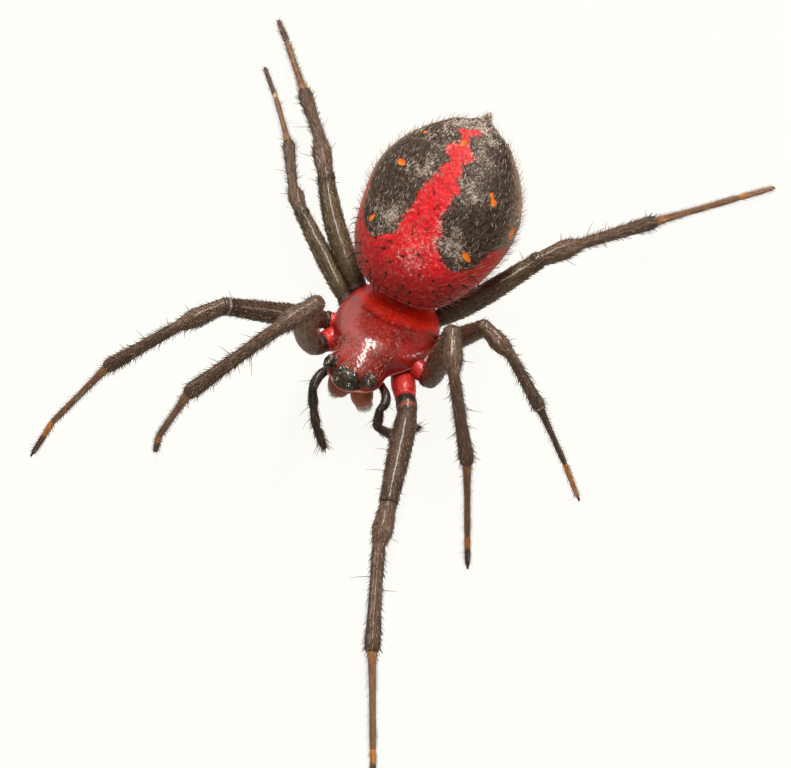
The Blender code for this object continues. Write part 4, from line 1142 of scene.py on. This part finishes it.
# Spines of each leg: segment, share along it, side of the leg, length, lean in degrees.
SPINES = {
    "R2": (("femur", 0.94, 1, 0.31, 64), ("patella", 0.67, 1, 0.32, 78), ("tibia", 0.10, 1, 0.32, 114), ("tibia", 0.43, 1, 0.46, 81), ("tibia", 0.71, 1, 0.32, 83), ("tibia", 0.30, -1, 0.35, 60), ("patella", 0.92, -1, 0.32, 66), ("tibia", 0.95, -1, 0.26, 60), ("tibia", 0.66, -1, 0.25, 83), ("metatarsus", 0.35, -1, 0.19, 45)),
    "R1": (("patella", 0.02, 1, 0.26, 123), ("tibia", 0.47, 1, 0.57, 79), ("tibia", 0.32, -1, 0.75, 61), ("tibia", 0.77, -1, 0.31, 72), ("tibia", 0.81, 1, 0.20, 108), ("tibia", 0.47, -1, 0.34, 70)),
    "L1": (("femur", 0.68, 1, 0.68, 81), ("femur", 0.45, 1, 0.45, 81), ("femur", 0.88, 1, 0.26, 81), ("femur", 0.89, -1, 0.21, 99), ("patella", 0.74, -1, 0.36, 75), ("tibia", 0.29, 1, 0.77, 87), ("tibia", 0.42, -1, 0.55, 93), ("tibia", 0.98, 1, 0.23, 42), ("tibia", 0.98, -1, 0.25, 43)),
    "L2": (("patella", 0.67, -1, 0.41, 79), ("tibia", 0.40, -1, 0.61, 78), ("tibia", 0.96, -1, 0.29, 75), ("tibia", 0.94, 1, 0.27, 70), ("tibia", 0.62, 1, 0.32, 45), ("femur", 0.74, -1, 0.30, 66)),
    "L3": (("patella", 0.69, -1, 0.31, 65), ("tibia", 0.05, -1, 0.29, 68), ("tibia", 0.38, 1, 0.35, 45), ("tibia", 0.34, -1, 0.55, 16), ("tibia", 0.88, -1, 0.21, 70), ("tibia", 0.83, 1, 0.17, 51), ("metatarsus", 0.23, -1, 0.16, 103), ("metatarsus", 0.35, 1, 0.22, 51)),
    "L4": (("femur", 0.89, -1, 0.37, 97), ("patella", 0.57, -1, 0.36, 77), ("patella", 0.78, -1, 0.20, 78), ("tibia", 0.07, -1, 0.68, 51), ("tibia", 0.33, -1, 0.39, 64), ("tibia", 0.92, -1, 0.30, 86), ("patella", 0.52, 1, 0.49, 54), ("tibia", 0.25, 1, 0.32, 62), ("tibia", 0.50, 1, 0.18, 62)),
    "R4": (("femur", 0.97, -1, 0.36, 63), ("femur", 0.91, 1, 0.21, 107), ("patella", 0.61, 1, 0.38, 46), ("patella", 0.52, -1, 0.54, 72), ("tibia", 0.26, -1, 0.68, 71), ("tibia", 0.14, 1, 0.61, 38), ("tibia", 0.80, 1, 0.30, 49), ("tibia", 0.79, -1, 0.35, 71), ("patella", 0.18, -1, 0.23, 89)),
    "R3": (("patella", 0.79, -1, 0.32, 71), ("tibia", 0.37, -1, 0.44, 76), ("tibia", 0.17, 1, 0.29, 69), ("metatarsus", 0.11, -1, 0.26, 74), ("tibia", 0.85, 1, 0.26, 66)),
}
# Spines that every leg has on its back and belly: share, bearing from the back, length.
COMMON_SPINES = {
    "femur": ((0.33, 5, 0.30), (0.62, -8, 0.34), (0.86, 4, 0.30)),
    "patella": ((0.08, 0, 0.26), (0.90, 4, 0.40)),
    "tibia": ((0.20, 6, 0.38), (0.62, -6, 0.40), (0.34, 165, 0.36), (0.58, 195, 0.36), (0.93, 170, 0.28)),
    "metatarsus": ((0.12, 165, 0.26), (0.16, 10, 0.24), (0.40, 190, 0.20)),
}
TILT, TURN = math.radians(60), math.radians(29.5)
OVERHEAD = np.array([math.sin(TURN) * math.cos(TILT), -math.cos(TURN) * math.cos(TILT), math.sin(TILT)])  # the side on which the spines' sides are told


def direction(sign, heading, pitch):
    heading, pitch = math.radians(heading), math.radians(pitch)
    return np.array([sign * math.sin(heading) * math.cos(pitch), -math.cos(heading) * math.cos(pitch), math.sin(pitch)])


def leg_path(name):
    sign = 1 if name[0] == "L" else -1
    hip, *segments = LEGS[name]
    hip = np.array([hip[0] * sign, hip[1], hip[2]])
    reach, heading, rise = (table.get(name, table[name[1]]) for table in (COXA_LENGTH, COXA_HEADING, COXA_RISE))
    inner = hip - direction(sign, heading, math.degrees(math.asin(rise / reach))) * reach
    path = [inner, inner + (hip - inner) * COXA_SHARE.get(name, 0.60), hip]
    for length, heading, pitch in segments:
        path.append(path[-1] + direction(sign, heading, pitch) * length)
    ankle, end = path[-2], path[-1]
    path[-1] = ankle + (end - ankle) * ((ankle[2] - TIP_HEIGHT) / (ankle[2] - end[2]))
    path[-1] = path[-1] - unit(end - ankle) * CLAW_REACH
    return np.array(path)


def leg_colour(segment, s, name):
    """Colour along a segment."""
    s = np.asarray(s, float)[:, None]
    if segment == "coxa":
        return RED * (1 - 0.25 * smooth((0.5 - s) / 0.5))
    if segment == "trochanter":
        band = np.exp(-(((s - 0.80) / 0.12) ** 2)) * (0.9 if name[1] == "1" else 0.45)
        return PITCHY * (1 - band) + RUST * band
    if (segment, name) in (("femur", "R2"), ("tibia", "L3")):  # a pale ring at these joints: partly the pale membrane, partly a painted glint
        skin = leg_colour(segment, s[:, 0], "L1")
        return skin + (np.array([0.50, 0.40, 0.32]) - skin) * np.exp(-(((s - 0.978) / 0.007) ** 2))
    if segment == "femur":
        tone = OLIVE if name in REAR_OLIVE else UMBER
        dark = smooth((s - 0.80) / 0.2) * 0.35 + smooth((0.10 - s) / 0.1) * 0.3
        # R1's femur, seen end-on, is painted lighter: painted light for the front light falling on its face. L1's femur
        # is darker.
        return tone * (1 - dark) * {"R1": 1.7, "L1": 0.66}.get(name, 1.0)
    if segment == "patella":
        return np.array([0.130, 0.072, 0.042]) * (1 - 0.25 * smooth((0.2 - s) / 0.2))
    if segment == "tibia":
        far = smooth((s - 0.55) / 0.4)
        return np.array([0.128, 0.071, 0.041]) * (1 - 0.25 * far) + 0 * s
    if segment == "metatarsus" and name == "L3":
        return np.array([0.098, 0.060, 0.038]) + 0 * s
    if segment == "metatarsus":
        base = smooth((0.20 - s) / 0.16)
        return np.array([0.265, 0.134, 0.062]) * (1 - base) + np.array([0.42, 0.18, 0.055]) * base
    if name == "L4":
        near = smooth((0.30 - s) / 0.25)
        return np.array([0.42, 0.20, 0.12]) * (1 - near) + AMBER * near
    if name == "R3":
        near = smooth((0.16 - s) / 0.08)
        return np.array([0.10, 0.055, 0.035]) * (1 - near) + np.array([0.62, 0.42, 0.30]) * near
    reach = AMBER_REACH.get(name, 0.0)
    amber = smooth((reach + 0.10 - s) / 0.14) if reach else 0 * s
    if name == "L3":
        return AMBER * (1 - 0.6 * s) + np.array([0.52, 0.30, 0.21]) * 0.6 * s
    return np.array([0.10, 0.055, 0.035]) * (1 - amber) + AMBER * amber


def segment_frame(path, i, up):
    way = unit(path[i + 1] - path[i])
    across = unit(up - way * (up @ way))
    return way, across, np.cross(way, across)


def cuticle_tube(skin, near, far, bow, profile, size, sides, dorsal, lateral, along, roughness, seed, tint_of, dry, form=None):
    """One segment: a body of this profile with both ends rounded into its joints."""
    way = unit(far - near)
    length = np.linalg.norm(far - near)
    r_near, r_far = float(curve(0, *profile)) * size, float(curve(1, *profile)) * size
    body = np.linspace(0, 1, max(16, int(length / 0.050)))
    a = np.linspace(0.16, math.pi / 2, 9)[:-1]
    b = np.linspace(0, math.pi / 2 - 0.12, 8)[1:]
    share = np.concatenate([-np.cos(a) * r_near * 0.80 / length, body, 1 + np.sin(b) * 0.55 * r_far / length])
    radius = np.concatenate([np.sin(a) * r_near, curve(body, *profile) * size, r_far * np.cos(b) ** 0.85])
    inside = np.clip(share, 0, 1)
    centre = near + way * (share * length)[:, None] + np.asarray(bow) * (4 * inside * (1 - inside))[:, None]
    angle = np.arange(sides) * 2 * math.pi / sides
    ring = dorsal * np.cos(angle)[:, None] + lateral * np.sin(angle)[:, None]
    s, th = inside[:, None], angle[None]
    across = np.ones((len(share), sides))
    if form is not None:
        across = across + form(s, th)
    where = np.stack([
        np.broadcast_to(np.cos(th) * 0.33, across.shape), np.broadcast_to(np.sin(th) * 0.33, across.shape),
        np.broadcast_to(along + share[:, None] * length, across.shape),
    ], axis=2)
    rough = roughness * waves(where.reshape(-1, 3), 0.45, seed, 2).reshape(across.shape)
    rings = centre[:, None] + ring[None] * (radius[:, None] * across + rough * np.minimum(1, radius / (0.4 * r_near))[:, None])[..., None]
    tint = np.repeat(tint_of(inside)[:, None], sides, axis=1)
    closed_grid(skin, rings, centre[0] - way * r_near * 0.02, centre[-1] + way * r_far * 0.02, leg=where, tint=tint, dry=np.full(len(share), dry))


def patella_form(s, th):
    window = smooth(s / 0.2) * smooth((1.0 - s) / 0.18)
    out = 0.055 * window * np.cos(th * 6) * smooth((np.cos(th) + 0.3) / 0.7)
    out = out + 0.06 * np.exp(-(((s - 0.70) / 0.14) ** 2)) * np.cos(th)
    return out - 0.08 * smooth((s - 0.80) / 0.2) * smooth(-np.cos(th))


def femur_form(s, th):
    out = 0.030 * np.cos(th * 2) * smooth(s / 0.2)
    return out - 0.05 * np.exp(-(((s - 0.925) / 0.035) ** 2)) * smooth(np.cos(th) + 0.3)


FORMS = {
    "coxa": lambda s, th: 0.03 * np.cos(th * 2) * smooth(s / 0.3) - 0.06 * np.exp(-(((s - 0.92) / 0.05) ** 2)),
    "trochanter": lambda s, th: -0.035 * np.exp(-(((s - 0.70) / 0.05) ** 2)) + 0 * th,
    "femur": femur_form,
    "patella": patella_form,
    "tibia": lambda s, th: 0.026 * smooth(s / 0.1) * smooth((1.0 - s) / 0.08) * np.cos(th * 8),
    "metatarsus": lambda s, th: 0.08 * np.exp(-((s / 0.07) ** 2)) * np.cos(th) + 0.012 * np.cos(th * 6),
    "tarsus": lambda s, th: 0.02 * np.cos(th * 2) + 0 * s,
}
SPACING = {"femur": 0.112, "patella": 0.105, "tibia": 0.100, "metatarsus": 0.086, "tarsus": 0.078}
SETA_LENGTH = {"femur": (0.12, 0.19), "patella": (0.14, 0.22), "tibia": (0.16, 0.26), "metatarsus": (0.15, 0.20), "tarsus": (0.13, 0.19)}
SETA_LEAN = {"femur": 0.55, "patella": 0.58, "tibia": 0.74, "metatarsus": 0.80, "tarsus": 0.72}


def leg(name):
    path = leg_path(name)
    thick = THICKNESS[name]
    sign = 1 if name[0] == "L" else -1
    skin, coat = Shape(), Shape()
    chance = np.random.default_rng(900 + list(LEGS).index(name))
    up = np.array([0.0, 0, 1])
    run = 0.0
    strip = list(LEGS).index(name)
    total = np.linalg.norm(np.diff(path, axis=0), axis=1).sum()

    def spot(bearing, at):
        return np.stack([(strip + (bearing / (2 * math.pi)) % 1 * 0.9 + 0.05) / 8, at / total], axis=-1)

    for i, segment in enumerate(SEGMENTS):
        way, dorsal, lateral = segment_frame(path, i, up)
        up = dorsal
        length = np.linalg.norm(path[i + 1] - path[i])
        profile = PROFILES[segment]
        if segment == "tibia" and name[1] == "1":
            profile = ((0, 0.210), (0.08, 0.215), *profile[2:])
        size = thick
        if i < 2:
            size = (1.02, 1.0)[i] if name[1] == "1" else (0.86, 0.93)[i]
        bow = np.array(FEMUR_BOW.get(name, (0, 0, 0))) if segment == "femur" else np.zeros(3)
        cuticle_tube(
            skin, path[i], path[i + 1], bow, profile, size, 36 if i < 5 else 28, dorsal, lateral, run,
            0.008 if i < 4 else 0.004, 70 + i, lambda s: leg_colour(segment, s, name), DULL[segment], FORMS[segment],
        )
        if i:  # the soft joint that shows between two segments
            r = 0.90 * min(float(curve(0, *profile)) * size, float(curve(1, *PROFILES[SEGMENTS[i - 1]])) * size)
            tone = RUST * 0.25 if i < 6 else AMBER * 0.5
            lump(skin, path[i], (r, r, r), sides=24, rings=14, leg=np.array([0.1, 0.1, run]), tint=tone, dry=0.4)

        def on_leg(at, bearing):
            out = dorsal * np.cos(bearing)[:, None] + lateral * np.sin(bearing)[:, None]
            radius = curve(at, *profile) * size
            return path[i] + way * (at * length)[:, None] + bow * (4 * at * (1 - at))[:, None] + out * radius[:, None], out

        if i < 2:
            n = (14, 18)[i]
            at, bearing = chance.uniform(0.25, 0.95, n), chance.uniform(-2.4, 2.4, n)
            root, out = on_leg(at, bearing)
            hairs(coat, root, out, np.tile(way, (n, 1)), chance.uniform(0.10, 0.18, n), 0.006, 0.9, 0.6, (0.10, 0.04, 0.025), spot(bearing, run + at * length), steps=3, tip_tint=(0.34, 0.15, 0.09))
        else:  # setae in jittered rows, leaning to the leg's end
            gap, (low, high), lean = SPACING[segment], SETA_LENGTH[segment], SETA_LEAN[segment]
            even = 0.12 if i > 4 else 0.45  # the last two segments are combed in regular rows
            ats, bearings = [], []
            for row in np.arange(gap * 0.7, length - 0.02, gap):
                r_here = float(curve(row / length, *profile)) * size
                count = max(6, int(2 * math.pi * r_here / gap))
                shift = chance.uniform(0, 1) if i < 5 else 0.25
                bearings.append((np.arange(count) + shift + chance.uniform(-0.3, 0.3, count) * even * 2) / count * 2 * math.pi)
                ats.append(np.clip(row + chance.uniform(-1, 1, count) * even * gap, 0.03, length - 0.01) / length)
            at, bearing = np.concatenate(ats), np.concatenate(bearings)
            n = len(at)
            root, out = on_leg(at, bearing)
            lie = way + np.cross(way, out) * chance.normal(0, 0.10, n)[:, None]
            tone = chance.uniform(0, 1, n)[:, None]
            tone = smooth((tone - (0.46 if i == 2 else 0.58)) / 0.4)
            flat = (tone[:, 0] > 0.5) & (i < 5)  # the paler ones lie down and catch the light
            # The pale tint of the lying setae is partly a painted highlight, standing in for their glints.
            dark = np.array([0.062, 0.035, 0.022]) if i < 5 else np.array([0.130, 0.062, 0.030])
            tint = dark * (1 - tone) + np.array([0.66, 0.52, 0.40]) * tone
            rise = np.where(flat, 0.30, lean + chance.normal(0, 0.10, n))
            hairs(coat, root, out, lie, chance.uniform(low, high, n), np.where(flat, 0.0085, 0.0115 if i < 5 else 0.0090), rise, np.where(flat, 0.0, rise - 0.25), tint, spot(bearing, run + at * length), steps=3)
            # Long thin sensory hairs stand up here and there.
            n = {"femur": 5, "patella": 4, "tibia": 12, "metatarsus": 8, "tarsus": 4}[segment]
            at, bearing = chance.uniform(0.08, 0.95, n), chance.uniform(-2.2, 2.2, n)
            root, out = on_leg(at, bearing)
            hairs(coat, root, out, np.tile(way, (n, 1)), chance.uniform(0.22, 0.34, n), 0.0055, 1.25, 1.0, (0.20, 0.09, 0.05), spot(bearing, run + at * length), steps=3, tip_tint=(0.45, 0.24, 0.16))
            beside = unit(np.cross(way, OVERHEAD))
            for kind, at, flank, size_mm, lean in SPINES[name]:
                if kind != segment:
                    continue
                out = beside * flank + OVERHEAD * 0.15
                bearing = np.array([math.atan2(out @ lateral, out @ dorsal)])
                root, out = on_leg(np.array([at]), bearing)
                tilt = math.radians(lean)
                hairs(coat, root, out, way[None], size_mm, 0.0125, tilt, 0.85 * tilt, (0.055, 0.024, 0.015), spot(bearing, run + np.array([at]) * length), sides=4, steps=6, sink=0.02, tip_tint=(0.46, 0.17, 0.09))
            for at, bearing, size_mm in COMMON_SPINES.get(segment, ()):
                at = np.array([at + chance.normal(0, 0.02)])
                bearing = np.array([math.radians(bearing * sign + chance.normal(0, 6))])
                root, out = on_leg(at, bearing)
                hairs(coat, root, out, way[None], size_mm * chance.uniform(0.85, 1.15), 0.0120, 1.15, 0.95, (0.055, 0.024, 0.015), spot(bearing, run + at * length), sides=4, steps=6, sink=0.02, tip_tint=(0.46, 0.17, 0.09))
        run += length
    skin.piece(f"leg_skin_{name}", LEG, "leg_black", [f"coxa_{name}", f"femur_{name}", f"tibia_{name}", f"foot_{name}"])
    coat.piece(f"leg_setae_{name}", SETAE, "leg_black", uv="spot")

    # Two hooked claws and a smaller middle one, down to the floor.
    horn = Shape()
    way = unit(path[-1] - path[-2])
    tip = path[-1] + way * 0.03
    level = np.array([way[0], way[1], 0.0])
    level = unit(level) if np.linalg.norm(level) > 0.15 else direction(sign, 60, 0)
    across = np.cross(level, (0, 0, 1.0))
    for offset, size in ((0.034, 1.0), (-0.034, 1.0), (0.0, 0.75)):
        start = tip + across * offset * 0.7
        reach = level * 0.05 * size
        knots = [
            start - way * 0.04, start + way * 0.02 + np.array([0, 0, 0.008]),
            start + way * 0.035 + reach, start + way * 0.03 + reach * 1.7,
        ]
        knots[2][2] = max(0.035, min(knots[2][2], tip[2] * 0.75))
        knots[3][2] = 0.004
        line = smooth_line(knots, 12)
        line[:, 2] = np.maximum(line[:, 2], 0.004)
        s = np.linspace(0, 1, 12)
        radii = curve(s, (0, 0.022), (0.4, 0.018), (0.8, 0.010), (1, 0.002)) * (0.8 + 0.2 * size)
        line[:, 2] = np.maximum(line[:, 2], radii + 0.001)
        tube(horn, line, radii, 10, tip=s)
    horn.piece(f"claws_{name}", CLAW, "foot_brown")


def palp(which):
    path = np.array(PALPS[which])
    sign = 1 if which == "L" else -1
    skin, coat = Shape(), Shape()
    chance = np.random.default_rng(300 + (which == "L"))
    profiles = (
        ((0, 0.135), (0.2, 0.15), (0.6, 0.158), (0.92, 0.160), (1, 0.145)),
        ((0, 0.130), (0.4, 0.155), (0.85, 0.155), (1, 0.135)),
        ((0, 0.120), (0.4, 0.142), (0.85, 0.148), (1, 0.130)),
        ((0, 0.120), (0.3, 0.138), (0.7, 0.125), (0.93, 0.090), (1, 0.07)),
    )
    dark = np.array([0.030, 0.018, 0.012])
    up, run = np.array([0.0, -0.3, 1]), 0.0
    for i, profile in enumerate(profiles):
        way, dorsal, lateral = segment_frame(path, i, up)
        up = dorsal
        length = np.linalg.norm(path[i + 1] - path[i])
        bow = np.array([0.20 if sign > 0 else -0.10, 0, 0.10]) if i == 0 else np.zeros(3)

        def tint_of(s):
            s = s[:, None]
            base = smooth((0.22 - s) / 0.15) if i == 0 else 0 * s
            return dark * (1 - base) + RED * 0.4 * base

        cuticle_tube(skin, path[i], path[i + 1], bow, profile, 1.0, 28, dorsal, lateral, run, 0.006, 55 + i, tint_of, (0.20, 0.24, 0.28, 0.32)[i])
        if i:
            r = 0.90 * min(profile[0][1], profiles[i - 1][-1][1])
            lump(skin, path[i], (r, r, r), sides=20, rings=12, leg=np.array([0.1, 0.1, run]), tint=RUST * 0.2, dry=0.35)
        count = (70, 60, 100, 220)[i]
        at, bearing = chance.uniform(0.05, 1.0, count), chance.uniform(0, 2 * math.pi, count)
        out = dorsal * np.cos(bearing)[:, None] + lateral * np.sin(bearing)[:, None]
        root = path[i] + way * (at * length)[:, None] + bow * (4 * at * (1 - at))[:, None] + out * curve(at, *profile)[:, None]
        place = np.stack([0.05 + 0.9 * bearing / (2 * math.pi), (i + at) / 4.05], axis=1)
        low, high = ((0.10, 0.16), (0.12, 0.2), (0.14, 0.24), (0.14, 0.26))[i]
        hairs(coat, root, out, np.tile(way, (count, 1)) + chance.normal(0, 0.1, (count, 3)), chance.uniform(low, high, count), 0.0062, 0.70, 0.40, (0.06, 0.032, 0.022), place, steps=3, tip_tint=(0.36, 0.18, 0.11))
        for k in range((1, 2, 4, 7)[i]):
            at, bearing = chance.uniform(0.25, 0.95), chance.uniform(-2.6, 2.6)
            out = dorsal * math.cos(bearing) + lateral * math.sin(bearing)
            root = path[i] + way * at * length + bow * (4 * at * (1 - at)) + out * float(curve(at, *profile))
            hairs(coat, root[None], out[None], way[None], chance.uniform(0.32, 0.50), 0.0095, 1.0, 0.55, (0.05, 0.02, 0.014), np.array([[0.05 + 0.9 * ((bearing / (2 * math.pi)) % 1), (i + at) / 4.05]]), sides=4, steps=5, tip_tint=(0.40, 0.18, 0.11))
        run += length
    skin.piece(f"palp_skin_{which}", LEG, "leg_black", [f"palp_base_{which}", f"palp_tip_{which}"])
    coat.piece(f"palp_setae_{which}", SETAE, "leg_black", uv="spot")
    horn = Shape()
    tip, way = path[-1], unit(path[-1] - path[-2])
    line = smooth_line([tip, tip + way * 0.07, tip + way * 0.12 + np.array([0, 0, -0.03]), tip + way * 0.14 + np.array([0, 0, -0.07])], 10)
    tube(horn, line, curve(np.linspace(0, 1, 10), (0, 0.022), (0.6, 0.014), (1, 0.003)), 10, tip=np.linspace(0, 1, 10))
    horn.piece(f"palp_claw_{which}", CLAW, "foot_brown")


carapace()
head_hairs()
eyes()
jaws()
underside()
abdomen()
abdomen_coat()
spinnerets()
for name in LEGS:
    leg(name)
for which in PALPS:
    palp(which)


# ------------------------------------------------------ floor, light, camera
def floor():
    mesh = bpy.data.meshes.new("floor")
    r = 1.5
    mesh.from_pydata([(-r, -r, 0), (r, -r, 0), (r, r, 0), (-r, r, 0)], [], [(0, 1, 2, 3)])
    obj = bpy.data.objects.new("floor", mesh)
    bpy.context.scene.collection.objects.link(obj)
    look = bpy.data.materials.new("pale_floor")
    look.use_nodes = True
    nodes, links = look.node_tree.nodes, look.node_tree.links
    shader = nodes["Principled BSDF"]
    shader.inputs["Base Color"].default_value = (0.060, 0.060, 0.057, 1)
    shader.inputs["Roughness"].default_value = 1.0
    shader.inputs["Specular IOR Level"].default_value = 0.0
    shader.inputs["Emission Color"].default_value = (1.0, 0.992, 0.945, 1)
    shader.inputs["Emission Strength"].default_value = 0.935
    mesh.materials.append(look)
    obj.visible_glossy = False


def lamp(name, place, size, power, colour=(1, 1, 1), aim=(0, 1.0, 2.5)):
    data = bpy.data.lights.new(name, "AREA")
    data.shape = "RECTANGLE"
    data.size, data.size_y = size[0] * MM, size[1] * MM
    data.energy = power
    data.color = colour
    obj = bpy.data.objects.new(name, data)
    bpy.context.scene.collection.objects.link(obj)
    place = (np.array(place) + SHIFT) * MM
    aim = (np.array(aim) + SHIFT) * MM
    back = unit(place - aim)
    side = unit(np.cross((0, 0, 1.0), back) if abs(back[2]) < 0.98 else np.cross((0, 1.0, 0), back))
    top = np.cross(back, side)
    obj.matrix_world = Matrix([
        [side[0], top[0], back[0], place[0]], [side[1], top[1], back[1], place[1]],
        [side[2], top[2], back[2], place[2]], [0, 0, 0, 1],
    ])


def camera():
    e, a = math.radians(60), math.radians(29.5)
    right = np.array([math.cos(a), math.sin(a), 0])
    back = np.array([math.sin(a) * math.cos(e), -math.cos(a) * math.cos(e), math.sin(e)])
    top = np.array([-math.sin(a) * math.sin(e), math.cos(a) * math.sin(e), math.cos(e)])
    place = (np.array([0, 0, COXA_LEVEL]) + 160 * back + SHIFT) * MM
    data = bpy.data.cameras.new("camera")
    data.sensor_fit, data.sensor_width = "HORIZONTAL", 36
    data.lens = 31 * 160 * 36 / 791
    data.shift_x, data.shift_y = 11.5 / 791, -53 / 791
    data.clip_start, data.clip_end = 0.005, 20
    obj = bpy.data.objects.new("camera", data)
    bpy.context.scene.collection.objects.link(obj)
    obj.matrix_world = Matrix([
        [right[0], top[0], back[0], place[0]], [right[1], top[1], back[1], place[1]],
        [right[2], top[2], back[2], place[2]], [0, 0, 0, 1],
    ])
    bpy.context.scene.camera = obj


floor()
lamp("key", (-30, 110, 224), (40, 280), 0.88, (1.0, 0.95, 0.88))
lamp("fill_right", (215, 110, 80), (60, 60), 0.09, (1.0, 0.95, 0.88))
lamp("fill_left", (-190, -60, 150), (70, 70), 0.07, (1.0, 0.95, 0.88))
lamp("back_card", (-190, 130, 90), (220, 170), 0.11, (1.0, 0.96, 0.91))
camera()
world = bpy.data.worlds.new("studio")
world.use_nodes = True
world.node_tree.nodes["Background"].inputs["Color"].default_value = (1.0, 0.93, 0.85, 1)
world.node_tree.nodes["Background"].inputs["Strength"].default_value = 0.27
bpy.context.scene.world = world
bpy.context.scene.view_settings.view_transform = "Standard"

bpy.context.view_layer.update()
